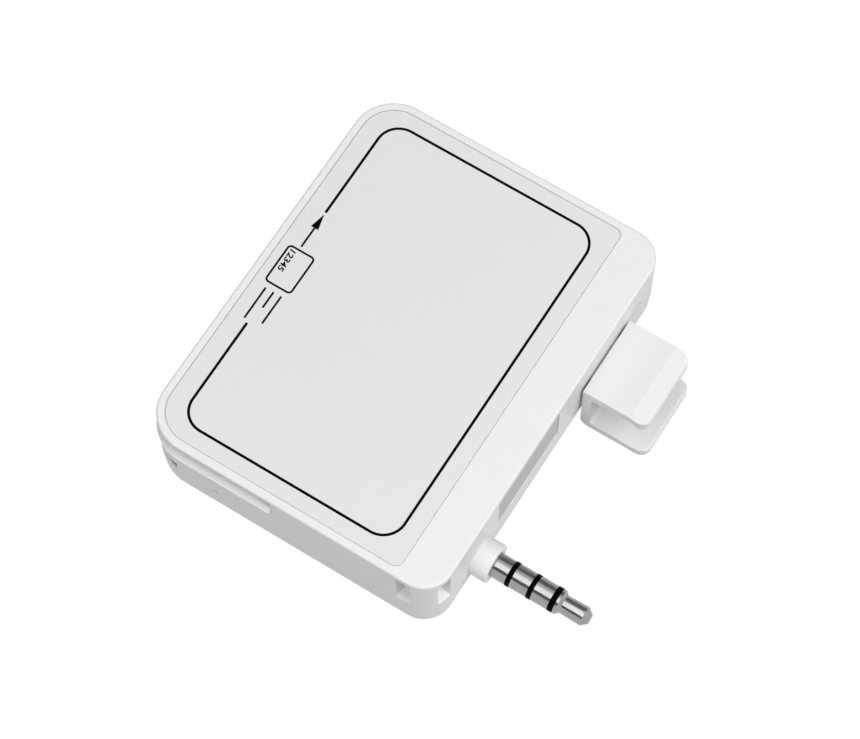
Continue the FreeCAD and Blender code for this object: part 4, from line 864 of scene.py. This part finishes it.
    @staticmethod
    def merged_copy(source: bpy.types.Object, name: str) -> bpy.types.Object:
        """A copy of a CAD node whose loose triangles are merged into one skin.

        Args:
            source: the node, which is left alone.
            name: the copy's name.

        Returns:
            The copy, without a finish.
        """
        Bench.clear()
        piece = bpy.data.objects.new(name, source.data.copy())
        bpy.context.scene.collection.objects.link(piece)
        piece.data.materials.clear()
        bpy.context.view_layer.objects.active = piece
        piece.select_set(True)
        bpy.ops.object.mode_set(mode="EDIT")
        bpy.ops.mesh.select_all(action="SELECT")
        bpy.ops.mesh.remove_doubles(threshold=MERGE_REACH)
        bpy.ops.object.mode_set(mode="OBJECT")
        bpy.ops.object.shade_smooth_by_angle(angle=math.radians(SMOOTH_ANGLE))
        return piece

    @staticmethod
    def join(name: str, pieces: Sequence[bpy.types.Object]) -> bpy.types.Object:
        """Joins pieces of one print or moulding.

        Args:
            name: of the joined piece.
            pieces: what is joined.

        Returns:
            The joined piece.
        """
        Bench.clear()
        for piece in pieces:
            piece.select_set(True)
        bpy.context.view_layer.objects.active = pieces[0]
        bpy.ops.object.join()
        pieces[0].name = pieces[0].data.name = name
        return pieces[0]


def node_box(name: str) -> tuple[Vector, Vector]:
    """A CAD node's lowest and highest corner, in millimetres."""
    low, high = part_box(name)
    return low / MM, high / MM


def dress(piece: bpy.types.Object, finish: Finish) -> None:
    """Gives a piece one finish all over.

    Args:
        piece: a CAD node or a new piece.
        finish: the finish.
    """
    if not piece.data.materials:
        piece.data.materials.append(finish.material())
    for slot in piece.material_slots:
        slot.material = finish.material()


# Sub-assemblies -----------------------------------------------------------------------------------

class SubAssembly(ABC):
    """A group of pieces that is finished together."""

    finishes: ClassVar[Mapping[str, Finish]] = {}

    def dress_nodes(self) -> None:
        """Gives every CAD node of the group its finish."""
        for name, finish in self.finishes.items():
            dress(frame["nodes"][name], finish)

    def add(self, piece: bpy.types.Object, finish: Finish, slot: str,
            body: str = "casing") -> bpy.types.Object:
        """Dresses a new piece and lets it ride.

        Args:
            piece: the finished mesh.
            finish: its finish.
            slot: the record's slot it belongs to; not used.
            body: the body it rides on.

        Returns:
            The piece.
        """
        dress(piece, finish)
        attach(piece, body)
        return piece

    @abstractmethod
    def build(self) -> list[bpy.types.Object]:
        """Builds the group's own pieces and dresses its nodes.

        Returns:
            The new pieces.
        """


@dataclass
class Casing(SubAssembly):
    """The two shells, the sheet in the roof and the window in the corner."""

    finishes: ClassVar[Mapping[str, Finish]] = {
        "upper_casing": CASE_TOP,
        "lower_casing": CASE_LOW,
        "faceplate": PLATE,
        "casing_screws": RolledMetal("screw_plating", (0.55, 0.54, 0.52), 0.3, tarnish=0.1),
    }

    seam_width: float = 0.09
    seam_sink: float = 0.05
    seam_depth: float = 0.3
    plate_radii: tuple[float, float] = (4.85, 1.15)

    def seam(self) -> bpy.types.Object:
        """Painted shade: a grey strip laid in the gap round the sheet, standing for the gap's shadow line,
        not a part of its own.
        """
        low, high = node_box("faceplate")
        half = self.seam_width / 2
        piece = Bench.ring("faceplate_seam_shade", (low.x - half, low.y - half), (high.x + half, high.y + half),
                           self.plate_radii, self.seam_width, 16)
        Bench.thicken(self.seam_depth)
        bpy.ops.object.mode_set(mode="OBJECT")
        Bench.place(piece, (0.0, 0.0, high.z - self.seam_sink - self.seam_depth))
        return piece

    def build(self) -> list[bpy.types.Object]:
        """Dresses the shells, paints shade onto the window towards its top and lays the grey strip of painted
        shade in the gap round the sheet.
        """
        self.dress_nodes()
        low, high = node_box("light_window")
        # Painted shade: the window darkens towards its top, under the lip.
        dress(frame["nodes"]["light_window"],
              SmokedLens("smoked_window", (0.035, 0.035, 0.037), 0.12, low=low.z, high=high.z))
        # Painted shade: the grey strip in the gap round the sheet.
        return [self.add(self.seam(), SEAM_SHADE_GREY, "faceplate")]


@dataclass
class PrintedArt(SubAssembly):
    """The line art on the faceplate: a frame, an arrow, a card sign and speed lines."""

    ink: float = 0.012
    frame_width: float = 0.38
    frame_low: tuple[float, float] = (-18.49, -25.50)
    frame_high: tuple[float, float] = (13.88, 25.55)
    frame_radius: float = 3.2
    break_low: float = -9.54
    break_high: float = 9.28
    fine: float = 0.28
    arrow_tip: float = 8.91
    arrow_base: float = 6.65
    arrow_half: float = 0.57
    shaft_end: float = 3.37
    sign_low: tuple[float, float] = (-19.92, -3.11)
    sign_high: tuple[float, float] = (-16.01, 2.85)
    sign_radius: float = 0.5
    digits: str = "12345"
    digits_start: float = 2.45
    digits_end: float = -1.0
    digit_height: float = 0.92
    digit_margin: float = 0.42
    speed_lines: tuple[tuple[float, float, float], ...] = (
        (-19.20, -4.00, -9.18), (-17.97, -4.00, -6.70), (-16.78, -4.00, -8.65))

    def frame_line(self) -> bpy.types.Object:
        """The frame, broken on its left where the card sign stands."""
        piece = Bench.ring("printed_frame", self.frame_low, self.frame_high, (self.frame_radius,) * 2,
                           self.frame_width, 14)
        for level in (self.break_low, self.break_high):
            bpy.ops.mesh.select_all(action="SELECT")
            bpy.ops.mesh.bisect(plane_co=(0.0, level, 0.0), plane_no=(0.0, 1.0, 0.0), threshold=0.00001)
        left = self.frame_low[0] + 1.0

        def in_break(face: bpy.types.MeshPolygon) -> bool:
            """True for the faces between the two cuts on the left."""
            return face.center.x < left and self.break_low < face.center.y < self.break_high

        Bench.pick_faces(piece, in_break)
        bpy.ops.mesh.delete(type="FACE")

        def at_end(corner: Vector) -> bool:
            """True for the corners at the two free ends."""
            gap = min(abs(corner.y - self.break_low), abs(corner.y - self.break_high))
            return corner.x < left and gap < 0.001

        Bench.pick_corners(piece, at_end)
        Bench.round_corners(self.frame_width / 2 * 0.94, 5)
        Bench.thicken(self.ink)
        bpy.ops.object.mode_set(mode="OBJECT")
        return piece

    def card_sign(self) -> bpy.types.Object:
        """The rounded outline of the card sign."""
        piece = Bench.ring("printed_card_sign", self.sign_low, self.sign_high, (self.sign_radius,) * 2,
                           self.fine, 6)
        Bench.thicken(self.ink)
        bpy.ops.object.mode_set(mode="OBJECT")
        return piece

    def arrow(self) -> bpy.types.Object:
        """The arrow that points along the swipe."""
        across = self.frame_low[0]
        shaft = Bench.stroke("arrow_shaft", (across, self.shaft_end), (across, self.arrow_base + 0.3),
                             self.fine, self.ink)
        head = Bench.plate("arrow_head", (across - self.arrow_half, self.arrow_base),
                           (across + self.arrow_half, self.arrow_tip))
        Bench.pick_corners(head, lambda corner: corner.y > self.arrow_tip - 0.01)
        bpy.ops.transform.resize(value=(0.06, 1.0, 1.0), center_override=(across, self.arrow_tip, 0.0))
        Bench.thicken(self.ink)
        bpy.ops.object.mode_set(mode="OBJECT")
        return Bench.join("printed_arrow", [shaft, head])

    def numbers(self) -> bpy.types.Object:
        """Plain slanted digits along the sign's left edge, reading towards the near end."""
        Bench.clear()
        bpy.ops.object.text_add(location=(0.0, 0.0, 0.0))
        text = bpy.context.object
        text.data.body = self.digits
        text.data.size = 1.3
        text.data.shear = 0.12
        text.data.offset = 0.034
        text.data.extrude = self.ink / 2
        text.data.resolution_u = 6
        bpy.ops.object.convert(target="MESH")
        piece = bpy.context.object
        piece.name = piece.data.name = "printed_digits"
        spots = [corner.co for corner in piece.data.vertices]
        low = Vector([min(spot[axis] for spot in spots) for axis in range(3)])
        high = Vector([max(spot[axis] for spot in spots) for axis in range(3)])
        bpy.ops.object.mode_set(mode="EDIT")
        bpy.ops.mesh.select_all(action="SELECT")
        bpy.ops.transform.translate(value=tuple(-low))
        size = high - low
        length = self.digits_start - self.digits_end
        bpy.ops.transform.resize(value=(length / size.x, self.digit_height / size.y, 1.0),
                                 center_override=(0.0, 0.0, 0.0))
        bpy.ops.object.mode_set(mode="OBJECT")
        piece.data.transform(Matrix.Rotation(-math.pi / 2, 4, "Z"))
        corner = (self.sign_low[0] + self.digit_margin, self.digits_start, 0.0)
        piece.data.transform(Matrix.Translation(corner))
        return piece

    def build(self) -> list[bpy.types.Object]:
        """Prints every line on the sheet."""
        level = node_box("faceplate")[1].z
        pieces = [self.frame_line(), self.card_sign(), self.arrow(), self.numbers()]
        lines = [Bench.stroke(f"speed_{count}", (across, start), (across, end), self.fine, self.ink)
                 for count, (across, start, end) in enumerate(self.speed_lines)]
        pieces.append(Bench.join("printed_speed_lines", lines))
        for piece in pieces:
            Bench.place(piece, (0.0, 0.0, level))
            self.add(piece, INK, "faceplate")
        return pieces


@dataclass
class AudioPlug(SubAssembly):
    """The four-contact plug: plated contacts, black bands that stand a little proud, and the collar."""

    finishes: ClassVar[Mapping[str, Finish]] = {
        "plug_collar": COLLAR_WHITE,
        "plug_sleeve": NICKEL,
        "plug_ring_inner": NICKEL,
        "plug_ring_outer": NICKEL,
        "plug_tip": NICKEL,
        "plug_insulators": BAND_BLACK,
        "plug_base": Moulded("plug_base_black", (0.03, 0.03, 0.03), 0.5, mottle=0.15),
        "plug_terminals": RolledMetal("gold_tabs", (0.83, 0.62, 0.28), 0.28, tarnish=0.08),
    }
    contact_radius: float = 1.75
    band_rise: float = 0.035
    band_sink: float = 0.05
    band_round: float = 0.06

    def band(self, name: str, start: float, width: float) -> bpy.types.Object:
        """One rounded band.

        Args:
            name: the piece's name.
            start: its back face, in millimetres along the plug; not used.
            width: of the band.

        Returns:
            The band, upright and in millimetres.
        """
        inner, outer = self.contact_radius - self.band_sink, self.contact_radius + self.band_rise
        soft = self.band_round
        profile = [(0.0, inner), (0.0, outer - soft), (soft * 0.3, outer - soft * 0.3), (soft, outer),
                   (width - soft, outer), (width - soft * 0.3, outer - soft * 0.3), (width, outer - soft),
                   (width, inner), (0.0, inner)]
        return Bench.turned(name, profile, closed=True)

    def build(self) -> list[bpy.types.Object]:
        """Dresses the contacts and adds the proud bands."""
        self.dress_nodes()
        low, high = node_box("plug_ring_outer")
        across, along, level = low.x, (low.y + high.y) / 2, (low.z + high.z) / 2
        sleeve_end = node_box("plug_sleeve")[1].x
        inner_low, inner_high = (corner.x for corner in node_box("plug_ring_inner"))
        outer_high = high.x
        tip_start = outer_high + (across - inner_high)
        spans = ((sleeve_end, inner_low), (inner_high, across), (outer_high, tip_start))
        pieces = []
        for count, (start, end) in enumerate(spans, start=1):
            piece = self.band(f"plug_band_{count}", 0.0, end - start)
            Bench.place(piece, (start, along, level), Aim.PLUG_SIDE)
            pieces.append(self.add(piece, BAND_BLACK, "plug_insulators"))
        return pieces


@dataclass
class PhoneClip(SubAssembly):
    """The sliding clip and the block that keeps it."""

    finishes: ClassVar[Mapping[str, Finish]] = {
        "phone_clip": CLIP_WHITE,
        "clip_retainer": Moulded("retainer_white", (0.76, 0.76, 0.75), 0.45),
    }

    def build(self) -> list[bpy.types.Object]:
        """Dresses the clip's solids."""
        self.dress_nodes()
        return []


@dataclass
class RatingLabel(SubAssembly):
    """The bare label beside the plug."""

    grey: Colour = (0.60, 0.60, 0.60)

    def build(self) -> list[bpy.types.Object]:
        """Dresses the label, which stays bare."""
        high = node_box("rating_label")[1].z
        # The label's top height sets where its painted shade lies.
        dress(frame["nodes"]["rating_label"], LabelStock("label_stock", self.grey, 0.5, high=high))
        return []


@dataclass
class SwipeHead(SubAssembly):
    """The magnetic head and its carriage, and the springs and ribbon under it."""

    finishes: ClassVar[Mapping[str, Finish]] = {
        "magnetic_head": RolledMetal("lapped_can", (0.60, 0.60, 0.61), 0.22, tarnish=0.1),
        "head_carriage": RolledMetal("stamped_sheet", (0.55, 0.55, 0.56), 0.34),
    }
    giving: ClassVar[Mapping[str, Finish]] = {
        "head_springs": RolledMetal("spring_wire", (0.64, 0.64, 0.65), 0.25, lines=(1.0, 1.0, 0.1)),
        "head_ribbon": AmberFilm("ribbon_film", (0.60, 0.28, 0.06), 0.35),
    }

    joint: str = "head_float"

    def press(self, node: str) -> tuple[float, float]:
        """How a node gives when the head is pressed, as the record has it.

        Args:
            node: the node's name.

        Returns:
            The height of its fixed end and the head's travel, in metres.
        """
        joints = frame["record"]["behaviour"]["joints"]
        floating = next(entry for entry in joints if entry["name"] == self.joint)
        bent = next(entry for entry in floating["deforming_nodes"] if entry["node"] == node)
        return bent["fixed_end_z_m"], max(floating["range_m"])

    def springy(self, node: str, finish: Finish) -> bpy.types.Object:
        """A copy of a node, with its triangles merged, that stands in for the hidden node.

        Args:
            node: the node it stands for.
            finish: its finish.

        Returns:
            The copy.
        """
        piece = Bench.merged_copy(frame["nodes"][node], f"{node}_sprung")
        fixed_end, travel = self.press(node)
        height = node_box(node)[1].z * MM - fixed_end
        self.add(piece, finish, node)
        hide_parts(node)
        1.0 - travel / height
        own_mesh(piece)
        return piece

    def build(self) -> list[bpy.types.Object]:
        """Dresses the head's solids and seats the springs and the ribbon under it."""
        self.dress_nodes()
        return [self.springy(node, finish) for node, finish in self.giving.items()]


@dataclass
class Electronics(SubAssembly):
    """The board, what stands on it, the battery and the antenna."""

    finishes: ClassVar[Mapping[str, Finish]] = {
        "antenna_sheet": AmberFilm("antenna_film", (0.50, 0.27, 0.08), 0.35),
        "antenna_coil": RolledMetal("copper_track", (0.80, 0.42, 0.24), 0.3, tarnish=0.15),
        "antenna_contacts": RolledMetal("gold_pins", (0.83, 0.62, 0.28), 0.25, tarnish=0.05),
        "main_board": SolderMask("board_mask", (0.03, 0.17, 0.08), 0.35),
        "battery_tab_board": SolderMask("tab_board_mask", (0.03, 0.17, 0.08), 0.35),
        "clock_crystal": RolledMetal("crystal_lid", (0.68, 0.68, 0.68), 0.25, tarnish=0.05),
        "capacitors": FiredCeramic("capacitor_body", (0.50, 0.37, 0.24), 0.35),
        "resistors": FiredCeramic("resistor_body", (0.04, 0.04, 0.045), 0.35),
        "radio_shield": RolledMetal("shield_tin", (0.66, 0.66, 0.65), 0.32),
        "battery": Pouch("cell_wrap", (0.60, 0.61, 0.63), 0.3),
        "battery_pad": Foam("pad_foam", (0.06, 0.06, 0.06), 0.85),
        "battery_leads": WirePair("lead_insulation", (0.50, 0.03, 0.02), 0.4),
        "battery_connector": Moulded("connector_nylon", (0.78, 0.75, 0.66), 0.45),
        "buzzer": Moulded("buzzer_black", (0.03, 0.03, 0.03), 0.42, mottle=0.15),
        "status_lights": LightLens("light_lens", (0.84, 0.85, 0.78), 0.12),
    }

    def build(self) -> list[bpy.types.Object]:
        """Dresses the solids, and marks each chip in its own corner."""
        self.dress_nodes()
        for name in ("controller_chip", "radio_chip", "codec_chip"):
            low, high = node_box(name)
            mark = (low.x + 0.8, high.y - 0.8, high.z)
            dress(frame["nodes"][name], Package(f"{name}_package", (0.022, 0.022, 0.024), 0.55, mark=mark))
        return []


@dataclass
class Controls(SubAssembly):
    """The charging socket, the slide switch and the reset button."""

    finishes: ClassVar[Mapping[str, Finish]] = {
        "usb_socket": RolledMetal("socket_shell", (0.64, 0.64, 0.65), 0.28),
        "usb_tongue": Moulded("socket_tongue", (0.035, 0.035, 0.035), 0.45, mottle=0.15),
        "mode_switch_body": RolledMetal("switch_shell", (0.62, 0.62, 0.62), 0.33),
        "mode_switch_knob": Moulded("switch_knob", (0.74, 0.74, 0.73), 0.42),
        "reset_switch_body": Moulded("reset_black", (0.04, 0.04, 0.04), 0.45, mottle=0.15),
        "reset_plunger": Moulded("reset_stem", (0.05, 0.05, 0.05), 0.45, mottle=0.15),
    }

    def build(self) -> list[bpy.types.Object]:
        """Dresses the controls' solids."""
        self.dress_nodes()
        return []


# Studio ---------------------------------------------------------------------------------------------

@dataclass(frozen=True)
class SoftBox:
    """A square soft light aimed at the casing.

    The level is what a white surface square to it shows.
    """

    name: str
    place: Point
    side: float
    level: float

    def build(self, target: Vector) -> bpy.types.Object:
        """Makes the light.

        Args:
            target: what it points at, in metres.

        Returns:
            The light's object.
        """
        data = bpy.data.lights.new(self.name, "AREA")
        data.shape, data.size = "SQUARE", self.side
        lamp = bpy.data.objects.new(self.name, data)
        bpy.context.scene.collection.objects.link(lamp)
        reach = target - Vector(self.place)
        data.energy = self.level * math.pi ** 2 * reach.length ** 2
        lamp.location = self.place
        lamp.rotation_euler = reach.to_track_quat("-Z", "Y").to_euler()
        return lamp


@dataclass(frozen=True)
class Flag:
    """A standing dark card that only shows in gloss, to give polished metal its dark bands."""

    name: str
    place: Point
    width: float
    height: float
    tone: float

    def build(self) -> bpy.types.Object:
        """Makes the card, square to the Y axis.

        Returns:
            The card.
        """
        Bench.clear()
        bpy.ops.mesh.primitive_plane_add(size=1.0, location=self.place, rotation=(math.pi / 2, 0.0, 0.0))
        card = bpy.context.object
        card.name = self.name
        card.scale = (self.width, self.height, 1.0)
        bpy.ops.object.transform_apply(location=True, rotation=True, scale=True)
        material = bpy.data.materials.new(self.name)
        material.use_nodes = True
        graph = Graph(material.node_tree)
        black = graph.add("ShaderNodeEmission", None, {"Color": (1.0, 1.0, 1.0), "Strength": self.tone})
        output = material.node_tree.nodes.new("ShaderNodeOutputMaterial")
        graph.join(output.inputs["Surface"], black)
        card.data.materials.append(material)
        card.visible_camera = card.visible_diffuse = card.visible_shadow = False
        card.visible_transmission = card.visible_volume_scatter = False
        return card


@dataclass
class Studio:
    """Plain pale floor, soft boxes, dark cards and an even surround."""

    surround: float = 0.36
    floor_colour: Colour = (0.25, 0.25, 0.25)
    floor_glow: float = 0.88
    floor_strength: float = 1.12
    floor_drop: float = 0.00002
    floor_half: float = 3.0
    boxes: tuple[SoftBox, ...] = (
        SoftBox("key_box", (0.42, 0.0, 0.48), 0.40, 0.56),
        SoftBox("front_box", (0.06, -0.46, 0.44), 0.30, 0.17),
        SoftBox("streak_box", (-0.13, -0.18, 0.60), 0.44, 0.20),
    )
    flags: tuple[Flag, ...] = (
        Flag("near_flag", (-0.03, -0.25, 0.23), 0.50, 0.22, tone=0.15),
        Flag("far_flag", (-0.03, 0.28, 0.23), 0.50, 0.34, tone=0.25),
    )

    @staticmethod
    def seen_plainly(graph: Graph) -> Wire:
        """1 for the rays that show the plain backdrop: from the camera, in gloss and through glass."""
        camera = graph.add("ShaderNodeLightPath", output="Is Camera Ray")
        gloss = graph.add("ShaderNodeLightPath", output="Is Glossy Ray")
        through = graph.add("ShaderNodeLightPath", output="Is Transmission Ray")
        return camera.largest(gloss).largest(through)

    def surround_light(self) -> None:
        """The world: plain white where it is seen, dimmer where it lights."""
        world = bpy.data.worlds.new("surround")
        bpy.context.scene.world = world
        world.use_nodes = True
        graph = Graph(world.node_tree)
        lit = graph.add("ShaderNodeBackground", None, {"Color": (1.0, 1.0, 1.0), "Strength": self.surround})
        seen = graph.add("ShaderNodeBackground", None, {"Color": (1.0, 1.0, 1.0), "Strength": 1.0})
        mixed = graph.add("ShaderNodeMixShader", None, {0: self.seen_plainly(graph), 1: lit, 2: seen})
        output = world.node_tree.nodes.new("ShaderNodeOutputWorld")
        graph.join(output.inputs["Surface"], mixed)

    def floor(self, level: float) -> bpy.types.Object:
        """The floor, which shows nearly white and keeps a soft shadow.

        Args:
            level: its height, in metres.

        Returns:
            The floor.
        """
        Bench.clear()
        bpy.ops.mesh.primitive_plane_add(size=2 * self.floor_half, location=(0.0, 0.0, level))
        floor = bpy.context.object
        floor.name = "studio_floor"
        bpy.ops.object.transform_apply(location=True, rotation=True, scale=True)
        material = bpy.data.materials.new("floor_paper")
        material.use_nodes = True
        graph = Graph(material.node_tree)
        grain = graph.noise(40.0, 2.0)
        tone = graph.blend(grain, darker(self.floor_colour, 0.995), darker(self.floor_colour, 1.005))
        paper = graph.add("ShaderNodeBsdfDiffuse", None, {"Color": tone})
        glow = graph.add("ShaderNodeEmission", None,
                         {"Color": (1.0, 1.0, 1.0), "Strength": self.floor_strength})
        mask = self.seen_plainly(graph) * self.floor_glow
        mixed = graph.add("ShaderNodeMixShader", None, {0: mask, 1: paper, 2: glow})
        output = material.node_tree.nodes.new("ShaderNodeOutputMaterial")
        graph.join(output.inputs["Surface"], mixed)
        floor.data.materials.append(material)
        return floor

    def build(self) -> None:
        """Sets up the surround, the floor and the lights."""
        low, high = CAD_BOX
        self.surround_light()
        self.floor(low.z - self.floor_drop)
        for box in self.boxes:
            box.build((low + high) / 2)
        for flag in self.flags:
            flag.build()
        bpy.context.scene.view_settings.view_transform = "Standard"


@dataclass
class StudioCamera:
    """The camera, turned by an azimuth and an elevation and held at an offset from the origin."""

    azimuth: float = 32.07
    elevation: float = 66.59
    lens: float = 130.94
    sensor: float = 36.0
    offset: Point = (-3.11, 0.65, 419.16)

    def build(self) -> bpy.types.Object:
        """Makes the camera and makes it the scene's.

        Returns:
            The camera's object.
        """
        a, e = math.radians(self.azimuth), math.radians(self.elevation)
        right = Vector((math.cos(a), math.sin(a), 0.0))
        down = Vector((math.sin(a) * math.sin(e), -math.cos(a) * math.sin(e), -math.cos(e)))
        ahead = Vector((-math.sin(a) * math.cos(e), math.cos(a) * math.cos(e), -math.sin(e)))
        data = bpy.data.cameras.new("studio_camera")
        data.lens, data.sensor_width = self.lens, self.sensor
        data.clip_start, data.clip_end = 0.01, 20.0
        camera = bpy.data.objects.new("studio_camera", data)
        bpy.context.scene.collection.objects.link(camera)
        across, under, depth = self.offset
        place = -(across * right + under * down + depth * ahead) * MM
        turn = Matrix((right, -down, -ahead)).transposed().to_4x4()
        camera.matrix_world = Matrix.Translation(place) @ turn
        bpy.context.scene.camera = camera
        return camera


def main() -> None:
    """Builds the camera, the sub-assemblies and the studio, in that order."""
    logging.basicConfig(level=logging.INFO, format="%(name)s: %(message)s")
    StudioCamera().build()
    groups: list[SubAssembly] = [Casing(), PrintedArt(), AudioPlug(), PhoneClip(), RatingLabel(), SwipeHead(),
                                 Electronics(), Controls()]
    for group in groups:
        pieces = group.build()
        LOG.info("%s: %d nodes dressed", type(group).__name__, len(group.finishes))
        for piece in pieces:
            LOG.info("%s: %d faces", piece.name, len(piece.data.polygons))
    Studio().build()
    Bench.clear()


if __name__ == "__main__":
    main()
